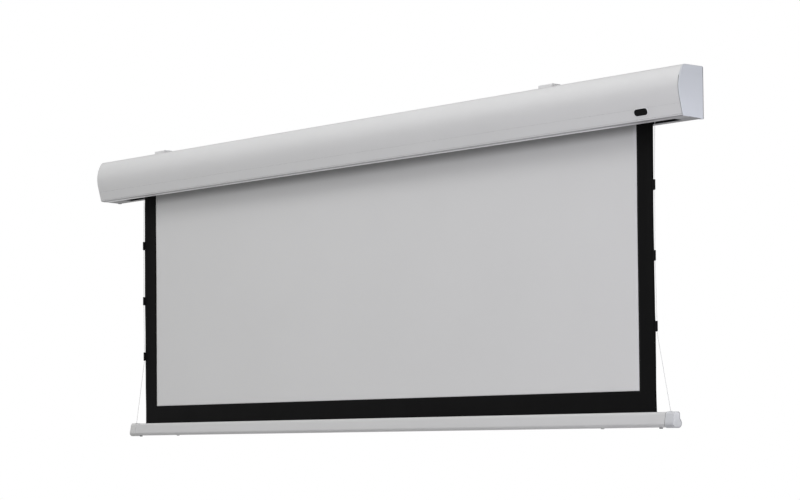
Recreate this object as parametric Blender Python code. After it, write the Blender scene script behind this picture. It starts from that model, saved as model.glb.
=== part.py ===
# Tab-tensioned motorized projector screen, part-lowered, on two sliding brackets.
# Frame: origin at the centre of the case's flat back face, +X along the case to
# the right as seen from the audience, +Y towards the wall, +Z up. All sizes
# below are in millimetres and are turned into metres by MM.

import bpy
import bmesh
from math import cos, sin, pi, radians, sqrt
from mathutils import Vector, Matrix

MM = 0.001
GAP = 0.3                   # clearance between touching pieces

# ---------------------------------------------------------------- dimensions
CASE_HALF = 1341.0          # half length of the case over the end caps
CAP_T = 4.0                 # end cap thickness
WALL = 2.2                  # extrusion wall
TOP_Z = 70.5                # top face of the case
BOT_FRONT_Z = -63.5         # underside at the front corner
BOT_REAR_Z = -65.2          # underside at the back face
FOOT_Z = -67.0              # small foot at the rear lower corner of each end cap
FOOT_IN = 11.0              # length of the foot along the case
CREASE_Z = -31.0            # seam between upper shell and front cover
GROOVE_Z = -60.0            # seam between front cover and slot lip
SLOT_FRONT_Y = -53.5        # front edge of the screen slot
SLOT_REAR_Y = -20.5         # rear edge of the screen slot
SLOT_HALF = 1265.0          # half length of the slot, about the screen's centre
RAIL_Y = -16.0              # centre of the bracket rail in the top face

SCREEN_X = 20.0             # centre of the screen along the case
VIEW_W = 2214.0             # width of the viewing surface
VIEW_BOTTOM_Z = -763.0      # lower edge of the viewing surface
SIDE_BORDER = 60.8
BOTTOM_BORDER = 56.0
FABRIC_Y = -28.15           # mid plane of the hanging fabric
FABRIC_T = 0.6

ROLLER_Y, ROLLER_Z = -56.5, 9.0
TUBE_R, TUBE_WALL = 25.0, 1.2
WOUND_R = 27.7              # outside of the fabric wound on the tube

BAR_X = 15.0                # centre of the weight bar along the case
BAR_HALF = 1241.5           # half length of the weight bar over its caps
BAR_CAP = 30.5
BAR_TOP_Z = -820.5
BAR_BOT_Z = -860.2
STUD_Y = -31.5              # screws under the bar: adjusters, and ballast locks further in
ADJUSTER_X, LOCK_X = 1189.0, 976.0

TAB_Z = (-225.0, -410.5, -596.0)
TAB_H = 27.6
TAB_OUT = 9.2               # how far a tab stands out of the fabric's edge
CORD_R = 1.0
CORD_OUT = 6.5              # cord line outside the fabric's edge
CORD_Y = FABRIC_Y - 4.3     # and in front of the fabric, through the tabs' heads

BRACKET_X = (-1059.0, 788.0)
BRACKET_W = 54.0
BRACKET_FRONT_Y = -32.5
BRACKET_TOP_Z = 87.0

BADGE_X, BADGE_Z = 1198.0, -40.0
BADGE_W, BADGE_H = 47.5, 18.0

# ---------------------------------------------------------------- clean start
for old in list(bpy.data.objects):
    bpy.data.objects.remove(old, do_unlink=True)

COL = bpy.context.scene.collection


def material(name, color, rough, metal=0.0):
    m = bpy.data.materials.new(name)
    m.use_nodes = True
    b = m.node_tree.nodes["Principled BSDF"]
    b.inputs["Base Color"].default_value = (*color, 1.0)
    b.inputs["Roughness"].default_value = rough
    b.inputs["Metallic"].default_value = metal
    return m


WHITE_PAINT = material("white_coated_aluminium", (0.78, 0.78, 0.79), 0.45)
CAP_WHITE = material("white_moulded_plastic", (0.76, 0.77, 0.80), 0.40)
VIEW_GREY = material("matte_projection_fabric", (0.80, 0.80, 0.80), 0.90)
MASK_BLACK = material("black_fabric", (0.010, 0.010, 0.011), 0.85)
BLACK_PLASTIC = material("black_plastic", (0.012, 0.012, 0.013), 0.45)
CORD_GREY = material("tension_cord", (0.72, 0.72, 0.71), 0.6)
STEEL = material("zinc_plated_steel", (0.55, 0.56, 0.58), 0.35, 1.0)
GREY_PLASTIC = material("grey_plastic", (0.30, 0.31, 0.32), 0.5)
MOTOR_METAL = material("motor_tube_steel", (0.42, 0.43, 0.45), 0.4, 1.0)
BRASS = material("sintered_bronze", (0.55, 0.42, 0.22), 0.4, 1.0)
BOARD_GREEN = material("circuit_board", (0.02, 0.16, 0.06), 0.5)
RUBBER = material("black_rubber", (0.015, 0.015, 0.015), 0.8)
BRACKET_WHITE = material("white_powder_coated_steel", (0.74, 0.74, 0.75), 0.5)


# ---------------------------------------------------------------- helpers
def axis_empty(name, at):
    e = bpy.data.objects.new(name, None)
    e.empty_display_size = 0.05
    e.location = Vector(at) * MM
    COL.objects.link(e)
    return e


HOUSING = axis_empty("housing_frame", (0, 0, 0))


def finish(bm, name, mat, parent=None, origin=None, smooth=True, angle=35.0):
    """Close a bmesh built in world millimetres into a named object whose origin
    lies at `origin` and which hangs under `parent`."""
    parent = parent or HOUSING
    bmesh.ops.recalc_face_normals(bm, faces=bm.faces)
    base = parent.location / MM
    o = Vector(origin) if origin is not None else Vector(base)
    for v in bm.verts:
        v.co = (v.co - o) * MM
    me = bpy.data.meshes.new(name)
    bm.to_mesh(me)
    bm.free()
    me.materials.append(mat)
    if smooth:
        me.shade_smooth()
        me.set_sharp_from_angle(angle=radians(angle))
    ob = bpy.data.objects.new(name, me)
    COL.objects.link(ob)
    ob.parent = parent
    ob.location = (o - base) * MM
    return ob


def fill_loops(bm, loops, place):
    """Fill a flat outline, its first loop, around its holes, the other loops."""
    edges = []
    for loop in loops:
        vs = [bm.verts.new(place(p)) for p in loop]
        edges += [bm.edges.new((vs[i], vs[(i + 1) % len(vs)])) for i in range(len(vs))]
    bmesh.ops.triangle_fill(bm, use_beauty=True, use_dissolve=False, edges=edges)
    return list(bm.faces)


def prism(name, loops, a0, a1, mat, parent=None, origin=None, axis="X", smooth=True):
    """Extrude an outline with holes along X, Y or Z between a0 and a1."""
    bm = bmesh.new()
    if axis == "X":
        place, move = (lambda p: (a0, p[0], p[1])), (a1 - a0, 0, 0)
    elif axis == "Y":
        place, move = (lambda p: (p[0], a0, p[1])), (0, a1 - a0, 0)
    else:
        place, move = (lambda p: (p[0], p[1], a0)), (0, 0, a1 - a0)
    faces = fill_loops(bm, loops, place)
    ext = bmesh.ops.extrude_face_region(bm, geom=faces, use_keep_orig=True)
    bmesh.ops.translate(
        bm,
        vec=move,
        verts=[g for g in ext["geom"] if isinstance(g, bmesh.types.BMVert)],
    )
    return finish(bm, name, mat, parent, origin, smooth)


def turned(name, profile, at, mat, parent=None, origin=None, axis="X", seg=32):
    """Turn a closed outline of (along, radius) points about an axis through `at`."""
    bm = bmesh.new()
    if axis == "X":
        place, ax = (lambda a, r: (a, at[1], at[2] + r)), (1, 0, 0)
    else:
        place, ax = (lambda a, r: (at[0] + r, at[1], a)), (0, 0, 1)
    vs = [bm.verts.new(place(a, r)) for a, r in profile]
    es = [bm.edges.new((vs[i], vs[(i + 1) % len(vs)])) for i in range(len(vs))]
    es = [e for e, i in zip(es, range(len(vs)))
          if not (profile[i][1] < 1e-6 and profile[(i + 1) % len(vs)][1] < 1e-6)]
    for e in [e for e in bm.edges if e not in es]:
        bm.edges.remove(e)
    bmesh.ops.spin(bm, geom=vs + es, cent=at, axis=ax, angle=2 * pi, steps=seg,
                   use_merge=True, use_duplicate=False)
    bmesh.ops.remove_doubles(bm, verts=bm.verts, dist=2e-3)
    return finish(bm, name, mat, parent, origin)


def block(name, x, y, z, mat, parent=None, origin=None, bevel=0.0):
    bm = bmesh.new()
    bmesh.ops.create_cube(bm, size=1.0)
    for v in bm.verts:
        v.co = Vector((x[0] if v.co.x < 0 else x[1],
                       y[0] if v.co.y < 0 else y[1],
                       z[0] if v.co.z < 0 else z[1]))
    if bevel:
        bmesh.ops.bevel(bm, geom=list(bm.edges), offset=bevel, segments=1,
                        affect="EDGES", profile=0.5)
    return finish(bm, name, mat, parent, origin, smooth=False)


def circle(cy, cz, r, n=24, start=0.0):
    return [(cy + r * cos(start + 2 * pi * i / n), cz + r * sin(start + 2 * pi * i / n))
            for i in range(n)]


def bezier(p0, c0, c1, p1, n):
    out = []
    for i in range(n + 1):
        t = i / n
        s = 1 - t
        out.append(tuple(s**3 * a + 3 * s * s * t * b + 3 * s * t * t * c + t**3 * d
                         for a, b, c, d in zip(p0, c0, c1, p1)))
    return out


def offset_open(points, d):
    """Move an open outline sideways by d, to the left of its direction."""
    out = []
    for i, p in enumerate(points):
        a = points[max(i - 1, 0)]
        b = points[min(i + 1, len(points) - 1)]
        t = Vector((b[0] - a[0], b[1] - a[1])).normalized()
        out.append((p[0] - t.y * d, p[1] + t.x * d))
    return out


def join(target, other):
    """Add another hidden solid to a piece."""
    other.hide_render = True
    other.display_type = "WIRE"
    m = target.modifiers.new(other.name, "BOOLEAN")
    m.operation = "UNION"
    m.solver = "EXACT"
    m.object = other


def cut(target, cutter):
    """Take a hidden cutter out of a piece."""
    cutter.hide_render = True
    cutter.display_type = "WIRE"
    m = target.modifiers.new(cutter.name, "BOOLEAN")
    m.operation = "DIFFERENCE"
    m.solver = "EXACT"
    m.object = cutter


# ---------------------------------------------------------------- case outline
def line(p, q, n):
    return [(p[0] + (q[0] - p[0]) * i / n, p[1] + (q[1] - p[1]) * i / n)
            for i in range(1, n + 1)]


# front outline from the flat lower face up over the bulge to the top face
LOW_CORNER = (-79.3, -58.5)
FRONT = [LOW_CORNER]
FRONT += line(LOW_CORNER, (-84.5, -38.5), 3)
FRONT += bezier((-84.5, -38.5), (-90.0, -19.0), (-94.3, -3.0), (-94.3, 13.0), 9)[1:]
FRONT += bezier((-94.3, 13.0), (-94.3, 28.0), (-90.0, 46.0), (-80.5, 61.5), 9)[1:]
FRONT += bezier((-80.5, 61.5), (-77.0, 67.2), (-73.5, TOP_Z), (-68.0, TOP_Z), 5)[1:]


def front_at(z, pts=None):
    """Point of the front outline at height z."""
    pts = pts or FRONT
    for a, b in zip(pts, pts[1:]):
        if a[1] <= z <= b[1]:
            k = (z - a[1]) / (b[1] - a[1])
            return (a[0] + k * (b[0] - a[0]), z)
    raise ValueError(z)


# lower nose from the groove round to the slot
NOSE = [front_at(-57.9)]
BACK_TOP = [(-4.5 + 4.5 * sin(a), TOP_Z - 4.5 + 4.5 * cos(a))
            for a in [radians(15 * i) for i in range(7)]]


def underside(y):
    """Height of the underside at depth y."""
    k = (y + 75.6) / 75.6
    return BOT_FRONT_Z + k * (BOT_REAR_Z - BOT_FRONT_Z)


# upper shell: front above the crease, top with the bracket rail, back, rear flange
upper_front = [front_at(CREASE_Z + 0.2)] + [p for p in FRONT if p[1] > CREASE_Z + 1.0]
R0, R1 = RAIL_Y - 3.5, RAIL_Y + 3.5           # rail mouth
C0, C1 = RAIL_Y - 7.5, RAIL_Y + 7.5           # rail channel
outer = list(upper_front)
outer += [(R0, TOP_Z), (R0, TOP_Z - WALL), (C0, TOP_Z - WALL), (C0, TOP_Z - 8.2),
          (C1, TOP_Z - 8.2), (C1, TOP_Z - WALL), (R1, TOP_Z - WALL), (R1, TOP_Z)]
outer += BACK_TOP
outer += [(0.0, BOT_REAR_Z), (SLOT_REAR_Y, underside(SLOT_REAR_Y))]
inner = [(SLOT_REAR_Y, underside(SLOT_REAR_Y) + 5.0),
         (SLOT_REAR_Y + 1.8, underside(SLOT_REAR_Y) + 5.0),
         (SLOT_REAR_Y + 1.8, underside(SLOT_REAR_Y) + WALL),
         (-WALL, BOT_REAR_Z + WALL), (-WALL, TOP_Z - WALL),
         (C1 + 2.0, TOP_Z - WALL), (C1 + 2.0, TOP_Z - 10.2),
         (C0 - 2.0, TOP_Z - 10.2), (C0 - 2.0, TOP_Z - WALL)]
inside = offset_open(upper_front, -WALL)
inside[-1] = (inside[-1][0], TOP_Z - WALL)
inner += list(reversed(inside))
SHELL_END = CASE_HALF - CAP_T - GAP
shell = prism("case_shell", [outer + inner], -SHELL_END, SHELL_END, WHITE_PAINT)
GLAND_X, GLAND_Y = -1300.0, -42.0
bm = bmesh.new()
bmesh.ops.create_cone(bm, cap_ends=True, segments=16, radius1=6.4, radius2=6.4, depth=12.0)
bmesh.ops.translate(bm, vec=(GLAND_X, GLAND_Y, TOP_Z), verts=bm.verts)
cut(shell, finish(bm, "cable_hole", WHITE_PAINT))

# lower front cover between the crease and the groove
cover = [front_at(GROOVE_Z + 3.6)] + [p for p in FRONT if -56.0 < p[1] < CREASE_Z - 1.0]
cover += [front_at(CREASE_Z - 0.2)]
cover_in = offset_open(cover, -WALL)
prism("front_cover", [cover + list(reversed(cover_in))], -SHELL_END, SHELL_END, WHITE_PAINT)

# slot lip: rounded nose under the cover, running back to the slot's front edge
nose = [(-79.75, -56.75)] + bezier((-79.45, -57.9), (-78.6, -61.2), (-78.0, -62.9),
                                   (-74.4, underside(-74.4)), 6)
nose += [(SLOT_FRONT_Y, underside(SLOT_FRONT_Y)),
         (SLOT_FRONT_Y, underside(SLOT_FRONT_Y) + 7.0),
         (SLOT_FRONT_Y - 1.8, underside(SLOT_FRONT_Y) + 7.0),
         (SLOT_FRONT_Y - 1.8, underside(SLOT_FRONT_Y) + WALL),
         (-73.0, underside(-73.0) + WALL),
         (-76.0, -59.6), (-77.55, -56.75)]
prism("slot_lip", [nose], -SHELL_END, SHELL_END, WHITE_PAINT)

# closed ends of the underside, between the lip and the rear flange
for side, name in ((-1, "bottom_plate_left"), (1, "bottom_plate_right")):
    y0, y1 = SLOT_FRONT_Y + GAP, SLOT_REAR_Y - GAP
    plate = [(y0, underside(y0)), (y1, underside(y1)), (y1, underside(y1) + WALL),
             (y0, underside(y0) + WALL)]
    xs = sorted((SCREEN_X + side * SLOT_HALF, side * (SHELL_END - 3.6)))
    prism(name, [plate], xs[0], xs[1], WHITE_PAINT, smooth=False)

# moulded end caps with the full outline of the case
FOOT_SCREW_X, FOOT_SCREW_Y = CASE_HALF - 7.4, -4.4
full = [p for p in FRONT]
full += BACK_TOP + [(0.0, FOOT_Z + 0.6), (-0.6, FOOT_Z), (-8.4, FOOT_Z), (-9.0, FOOT_Z + 0.6),
                    (-9.8, underside(-9.8) - 0.3), (-74.4, underside(-74.4))]
full += bezier((-74.4, underside(-74.4)), (-78.0, -62.9), (-78.6, -61.2), LOW_CORNER, 5)[1:-1]
for side, name in ((-1, "end_cap_left"), (1, "end_cap_right")):
    xs = sorted((side * (CASE_HALF - CAP_T), side * CASE_HALF))
    cap = prism(name, [full], xs[0], xs[1], CAP_WHITE)
    # the foot reaches inwards under the shell's rear flange, with a screw up into it
    fx = sorted((side * (CASE_HALF - 3.0), side * (CASE_HALF - FOOT_IN)))
    join(cap, block(name + "_foot", fx, (-8.2, -0.6), (FOOT_Z + 0.2, -65.5), CAP_WHITE))
    bm = bmesh.new()
    bmesh.ops.create_cone(bm, cap_ends=True, segments=16, radius1=2.2, radius2=2.2,
                          depth=6.0)
    bmesh.ops.translate(bm, vec=(side * FOOT_SCREW_X, FOOT_SCREW_Y, FOOT_Z), verts=bm.verts)
    cut(cap, finish(bm, name + "_screw_hole", CAP_WHITE))

# inner end plates that the caps are screwed to
ins = offset_open(FRONT, -(WALL + 0.6))
plate_out = [p for p in ins if -52.0 < p[1] < 57.0]
plate_out = plate_out + [(-2.8, 57.0), (-2.8, -55.0), (plate_out[0][0] + 3.0, -55.0)]


def plate_loop(extra):
    return [plate_out] + extra


for side, name in ((-1, "end_plate_left"), (1, "end_plate_right")):
    xs = sorted((side * (SHELL_END - 3.0), side * (SHELL_END - 0.0)))
    prism(name, plate_loop([]), xs[0], xs[1], STEEL, smooth=False)

# one sunk screw in the foot under each end
for side, name in ((-1, "end_screw_left"), (1, "end_screw_right")):
    turned(name, [(FOOT_Z + 0.3, 0.0), (FOOT_Z + 0.3, 1.5), (FOOT_Z + 0.7, 1.8),
                  (FOOT_Z + 1.4, 1.8), (FOOT_Z + 1.4, 0.0)],
           (side * FOOT_SCREW_X, FOOT_SCREW_Y, 0.0), BLACK_PLASTIC, axis="Z", seg=12)

# blank badge: a shallow pill on the sloping cover near the right end
slope = Vector((-84.5 + 79.3, -38.5 + 58.5)).normalized()       # up the face, (y, z)
face_n = Vector((-slope.y, slope.x))                            # out of the face
badge_face = front_at(BADGE_Z)
bm = bmesh.new()
pill = []
hw, hr = BADGE_W / 2 - BADGE_H / 2, BADGE_H / 2
for i in range(11):
    a = -pi / 2 + pi * i / 10
    pill.append((hw + hr * cos(a), hr * sin(a)))
for i in range(11):
    a = pi / 2 + pi * i / 10
    pill.append((-hw + hr * cos(a), hr * sin(a)))


def on_face(u, v, w):
    """A point u along X, v up the sloping face and w out of it."""
    return (BADGE_X + u, badge_face[0] + v * slope.x + w * face_n.x,
            badge_face[1] + v * slope.y + w * face_n.y)


rows = [(1.0, 0.55), (1.0, 1.5), (0.94, 2.0)]
rings = [[bm.verts.new(on_face(u * k, v * (k if k == 1.0 else k - 0.03), w)) for u, v in pill]
         for k, w in rows]
for a, b in zip(rings, rings[1:]):
    for i in range(len(pill)):
        j = (i + 1) % len(pill)
        bm.faces.new((a[i], a[j], b[j], b[i]))
bm.faces.new(rings[0])
bm.faces.new(rings[-1])
finish(bm, "badge", BLACK_PLASTIC)

# ---------------------------------------------------------------- roller and drive
RC = (0.0, ROLLER_Y, ROLLER_Z)
ROLLER = axis_empty("roller_axis", (SCREEN_X, ROLLER_Y, ROLLER_Z))
FAB_HALF = VIEW_W / 2 + SIDE_BORDER
FAB_L, FAB_R = SCREEN_X - FAB_HALF, SCREEN_X + FAB_HALF
END_L, END_R = SCREEN_X - 1198.0, SCREEN_X + 1198.0     # ends of the turning parts
TUBE_IN = TUBE_R - TUBE_WALL


def ring(name, x0, x1, r_in, r_out, mat, parent=None, seg=32):
    return turned(name, [(x0, r_in), (x1, r_in), (x1, r_out), (x0, r_out)], RC, mat,
                  parent, RC if parent is ROLLER else None, seg=seg)


ring("roller_tube", FAB_L, FAB_R, TUBE_IN, TUBE_R, MOTOR_METAL, ROLLER)
ring("wound_fabric", FAB_L, FAB_R, TUBE_R + GAP, WOUND_R, VIEW_GREY, ROLLER, seg=40)

# cord drums, plugged into the tube's ends: a spigot, a slim neck where the tabs pass,
# then a groove for the cord and a flange on its outer side
CORD_TOP_X = 1179.0
HUB_IN = 18.1
for side, name in ((-1, "cord_drum_left"), (1, "cord_drum_right")):
    pts = [(FAB_HALF - 18.0, HUB_IN), (1180.0, HUB_IN), (1180.0, TUBE_IN), (1191.0, TUBE_IN),
           (1191.0, 31.0), (1186.0, 31.0), (1181.0, 26.7), (1177.7, 26.7), (1177.7, 20.0),
           (FAB_HALF, 20.0), (FAB_HALF, TUBE_IN - GAP), (FAB_HALF - 18.0, TUBE_IN - GAP)]
    turned(name, [(SCREEN_X + side * a, r) for a, r in pts], RC, BLACK_PLASTIC, ROLLER, RC)

# tubular motor: head outside the tube, body inside it, output shaft at its far end
PLATE_L = SCREEN_X - 1224.0          # inner face of the left support plate
PLATE_R = SCREEN_X + 1210.0          # inner face of the right support plate
HEAD_L = PLATE_L + GAP
MOTOR_END = HEAD_L + 500.0
turned("motor_head", [(HEAD_L, 0), (HEAD_L, 21.0), (HEAD_L + 1.5, 22.5), (HEAD_L + 22.0, 22.5),
                      (HEAD_L + 22.0, 0)], RC, BLACK_PLASTIC)
turned("motor_body", [(HEAD_L + 22.3, 0), (HEAD_L + 22.3, 17.5), (MOTOR_END, 17.5),
                      (MOTOR_END, 5.0), (MOTOR_END + 22.0, 5.0), (MOTOR_END + 22.0, 0)],
       RC, MOTOR_METAL)
ring("limit_ring", END_L + 0.5, END_L + 16.0, HUB_IN, TUBE_IN - GAP, GREY_PLASTIC, ROLLER)
ring("drive_wheel", MOTOR_END + 3.0, MOTOR_END + 18.0, 5.4, TUBE_IN - GAP, GREY_PLASTIC, ROLLER)

# free end: plug in the drum, bearing in the plug, fixed pin through the plate
ring("idler_plug", END_R - 17.5, END_R - 0.5, 11.3, TUBE_IN - GAP, GREY_PLASTIC, ROLLER)
ring("idler_bearing", END_R - 14.0, END_R - 2.0, 6.4, 11.0, BRASS, ROLLER, seg=24)
turned("idler_pin", [(END_R - 20.0, 0), (END_R - 20.0, 5.2), (END_R - 19.0, 6.0),
                     (PLATE_R + 3.3, 6.0), (PLATE_R + 3.3, 9.0), (PLATE_R + 6.5, 9.0),
                     (PLATE_R + 6.5, 0)], RC, STEEL, seg=24)

# support plates that carry the roller, standing against the back of the case
prism("support_plate_left", plate_loop([circle(ROLLER_Y, ROLLER_Z, 6.0, 4, pi / 4)]),
      PLATE_L - 3.0, PLATE_L, STEEL, smooth=False)
prism("support_plate_right", plate_loop([circle(ROLLER_Y, ROLLER_Z, 6.4, 24)]),
      PLATE_R, PLATE_R + 3.0, STEEL)
# square peg of the motor head, seated in the left plate's square hole
prism("motor_peg", [circle(ROLLER_Y, ROLLER_Z, 5.4, 4, pi / 4)], PLATE_L - 6.0, PLATE_L,
      STEEL, smooth=False)

# receiver in the chamber left of the motor: tray, board, terminals
RX0, RX1 = -1318.0, -1226.0
tray = [(-12.0, -50.0), (-3.0, -50.0), (-3.0, 42.0), (-12.0, 42.0), (-12.0, 40.4),
        (-4.8, 40.4), (-4.8, -48.4), (-12.0, -48.4)]
prism("receiver_tray", [tray], RX0, RX1, GREY_PLASTIC, smooth=False)
block("receiver_board", (RX0 + 4, RX1 - 4), (-9.2, -7.6), (-46.0, 38.0), BOARD_GREEN)
block("terminal_block", (RX0 + 8, RX0 + 52), (-21.0, -9.5), (-30.0, -16.0), BLACK_PLASTIC,
      bevel=0.8)

# cable inlet in the top face near the left end: a low grommet clipped in its hole
turned("cable_gland", [(TOP_Z - WALL - 7.0, 3.2), (TOP_Z - WALL - 7.0, 5.0),
                       (TOP_Z - WALL - 2.2, 8.0), (TOP_Z - WALL - GAP, 8.0),
                       (TOP_Z - WALL - GAP, 6.0), (TOP_Z + GAP, 6.0), (TOP_Z + GAP, 8.5),
                       (TOP_Z + 1.0, 8.5), (TOP_Z + 1.8, 7.2), (TOP_Z + 1.8, 3.2)],
       (GLAND_X, GLAND_Y, 0.0), BLACK_PLASTIC, axis="Z", seg=24)


def tube_curve(name, points, radius, mat, res=2, parent=None, origin=(0, 0, 0)):
    """A round cord along a chain of points, with closed ends."""
    cu = bpy.data.curves.new(name, "CURVE")
    cu.dimensions = "3D"
    cu.bevel_depth = radius * MM
    cu.bevel_resolution = res
    cu.use_fill_caps = True
    sp = cu.splines.new("POLY")
    sp.points.add(len(points) - 1)
    for p, q in zip(sp.points, points):
        p.co = (q[0] * MM, q[1] * MM, q[2] * MM, 1.0)
    cu.materials.append(mat)
    ob = bpy.data.objects.new(name, cu)
    COL.objects.link(ob)
    ob.parent = parent or HOUSING
    ob.location = -Vector(origin) * MM
    return ob


def smooth_path(pts, per=6):
    """Points of a Catmull-Rom curve through the given ones."""
    P = [Vector(p) for p in pts]
    P = [P[0] * 2 - P[1]] + P + [P[-1] * 2 - P[-2]]
    out = []
    for i in range(1, len(P) - 2):
        for k in range(per):
            t = k / per
            a, b, c, d = P[i - 1], P[i], P[i + 1], P[i + 2]
            out.append(0.5 * ((2 * b) + (c - a) * t + (2 * a - 5 * b + 4 * c - d) * t * t
                              + (3 * b - a - 3 * c + d) * t**3))
    out.append(P[-2])
    return [tuple(v) for v in out]


# lead from the motor's peg side to the terminals, inside the left chamber
tube_curve("motor_lead", smooth_path([
    (PLATE_L - 3.6, -74.0, 2.0), (PLATE_L - 14.0, -74.0, 2.0), (PLATE_L - 30.0, -68.0, -6.0),
    (PLATE_L - 42.0, -52.0, -19.0), (PLATE_L - 58.0, -34.0, -23.0), (PLATE_L - 67.5, -28.0, -23.0),
    (PLATE_L - 68.0, -22.0, -23.0)], 4), 2.5, BLACK_PLASTIC)

# ---------------------------------------------------------------- fabric
FY0, FY1 = FABRIC_Y - FABRIC_T / 2, FABRIC_Y + FABRIC_T / 2
VL, VR = SCREEN_X - VIEW_W / 2, SCREEN_X + VIEW_W / 2
HEM_Z = BAR_TOP_Z - 7.0
block("view_fabric", (VL, VR), (FY0, FY1), (VIEW_BOTTOM_Z, ROLLER_Z), VIEW_GREY)
g = GAP
u_shape = [(FAB_L, ROLLER_Z), (FAB_L, HEM_Z), (FAB_R, HEM_Z), (FAB_R, ROLLER_Z),
           (VR + g, ROLLER_Z), (VR + g, VIEW_BOTTOM_Z - g), (VL - g, VIEW_BOTTOM_Z - g),
           (VL - g, ROLLER_Z)]
prism("black_border", [u_shape], FY0, FY1, MASK_BLACK, axis="Y", smooth=False)

# ---------------------------------------------------------------- tabs and cords
CORD_X = FAB_HALF + CORD_OUT     # cord line along the tabs, from the screen centre
FRONT_Y, REAR_Y = FABRIC_Y - 7.0, FABRIC_Y + 1.8      # of a tab


def tab(name, side, z, parent):
    """Clip on the fabric's edge: a thin plate behind the fabric, a bridge round its
    edge, and a head in front of it with the cord's eye through it."""
    def X(v):
        return SCREEN_X + side * v
    h = TAB_H / 2
    f, t = FAB_HALF, FAB_HALF + TAB_OUT
    mid = FABRIC_Y - 2.4
    head = [(X(f + 0.4), FRONT_Y), (X(t - 1.4), FRONT_Y), (X(t), FRONT_Y + 1.4),
            (X(t), FABRIC_Y - 4.4), (X(t - 1.6), mid), (X(f + 2.0), mid), (X(f + 2.0), REAR_Y),
            (X(f - 15.0), REAR_Y), (X(f - 15.0), REAR_Y - 1.2), (X(f + 0.4), REAR_Y - 1.2)]
    eye = [(X(CORD_X) + 1.35 * cos(2 * pi * i / 12), CORD_Y + 1.35 * sin(2 * pi * i / 12))
           for i in range(12)]
    ob = prism(name, [head, eye], z - h, z + h, BLACK_PLASTIC, parent,
               (SCREEN_X + side * CORD_X, FABRIC_Y, z), axis="Z")
    # notched outer corners, top and bottom
    for k, drop in ((-1, 2.6), (1, 1.6)):
        bm = bmesh.new()
        pts = [(t + 1.0, z + k * (h + 1.0)), (t - 3.0, z + k * (h + 1.0)),
               (t + 1.0, z + k * (h - drop))]
        vs = [bm.verts.new((X(p[0]), FRONT_Y - 1.0, p[1])) for p in pts]
        f_ = bm.faces.new(vs)
        e = bmesh.ops.extrude_face_region(bm, geom=[f_], use_keep_orig=True)
        bmesh.ops.translate(bm, vec=(0, 11.0, 0), verts=[v for v in e["geom"]
                                                         if isinstance(v, bmesh.types.BMVert)])
        c = finish(bm, "%s_notch_%s" % (name, "low" if k < 0 else "high"), BLACK_PLASTIC)
        cut(ob, c)
    return ob


for i, z in enumerate(TAB_Z):
    row = axis_empty("tab_row_%d" % (i + 1), (SCREEN_X, FABRIC_Y, z))
    tab("tab_left_%d" % (i + 1), -1, z, row)
    tab("tab_right_%d" % (i + 1), 1, z, row)

CORD_END_X = 1221.0              # where the cord enters the bar's cap, from the bar's centre
CORD_END_Z = BAR_TOP_Z - 31.5
z_top_eye = TAB_Z[0] + TAB_H / 2 + 1.0
z_low_eye = TAB_Z[2] - TAB_H / 2 - 1.0
for side, name in ((-1, "tension_cord_left"), (1, "tension_cord_right")):
    end_x = CORD_END_X + side * (BAR_X - SCREEN_X)
    keys = [(CORD_TOP_X, FABRIC_Y, ROLLER_Z), (CORD_X + 0.1, CORD_Y + 0.05, z_top_eye + 3.0),
            (CORD_X + 0.5, CORD_Y, z_low_eye - 4.0), (end_x - 0.5, FABRIC_Y, BAR_TOP_Z + 2.5)]

    def between(a, b, n):
        return [tuple(p + (q - p) * k / n for p, q in zip(a, b)) for k in range(n)]

    run = between(keys[0], keys[1], 6)
    run += [keys[1]] + [(CORD_X, CORD_Y, z) for z in (
        z_top_eye, TAB_Z[0], (TAB_Z[0] + TAB_Z[1]) / 2, TAB_Z[1], (TAB_Z[1] + TAB_Z[2]) / 2,
        TAB_Z[2], z_low_eye)]
    run += between(keys[2], keys[3], 7)
    run += [keys[3]] + [(end_x, FABRIC_Y, z) for z in (
        BAR_TOP_Z - 1.0, BAR_TOP_Z - 15.0, CORD_END_Z)]
    tube_curve(name, [(SCREEN_X + side * x, y, z) for x, y, z in run], CORD_R, CORD_GREY)

# ---------------------------------------------------------------- weight bar
BAR = axis_empty("weight_bar_slide", (SCREEN_X, FABRIC_Y, BAR_TOP_Z))
BAR_O = (SCREEN_X, FABRIC_Y, BAR_TOP_Z)
LOBE_Y, LOBE_Z, LOBE_R = -21.6, -849.8, 10.4     # round lower rear lobe


def bar_outline(grow=0.0, n=8):
    """Closed outline of the bar, front face leaning out towards its foot, round
    lobe low at the back. grow makes the caps a little larger."""
    g = grow
    r, a0 = LOBE_R + g, radians(50)
    lobe = (LOBE_Y + r * cos(a0), LOBE_Z + r * sin(a0))
    pts = bezier((-37.3 - g, -828.0), (-36.9 - g, -824.0), (-35.0, BAR_TOP_Z + g),
                 (-31.0, BAR_TOP_Z + g), 5)
    pts += bezier((-21.6, BAR_TOP_Z + g), (-19.2, BAR_TOP_Z + g), (-17.4 + g, -822.2),
                  (-17.1 + g, -826.0), 3)
    pts += bezier((-17.1 + g, -826.0), (-16.9 + g, -831.5), (-17.4 + g, -837.5), lobe, 5)[1:]
    for i in range(1, n + 1):
        a = a0 - (a0 + pi / 2) * i / n
        pts.append((LOBE_Y + r * cos(a), LOBE_Z + r * sin(a)))
    pts += bezier((-33.0, BAR_BOT_Z - g), (-38.4, BAR_BOT_Z - g), (-42.4 - g, -856.6),
                  (-41.8 - g, -850.5), 6)
    return pts


slot_w = 1.7
KEY_Y, KEY_Z, KEY_R = FABRIC_Y, BAR_TOP_Z - 11.0, 4.6
body = bar_outline()
top = [p for p in body]
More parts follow.
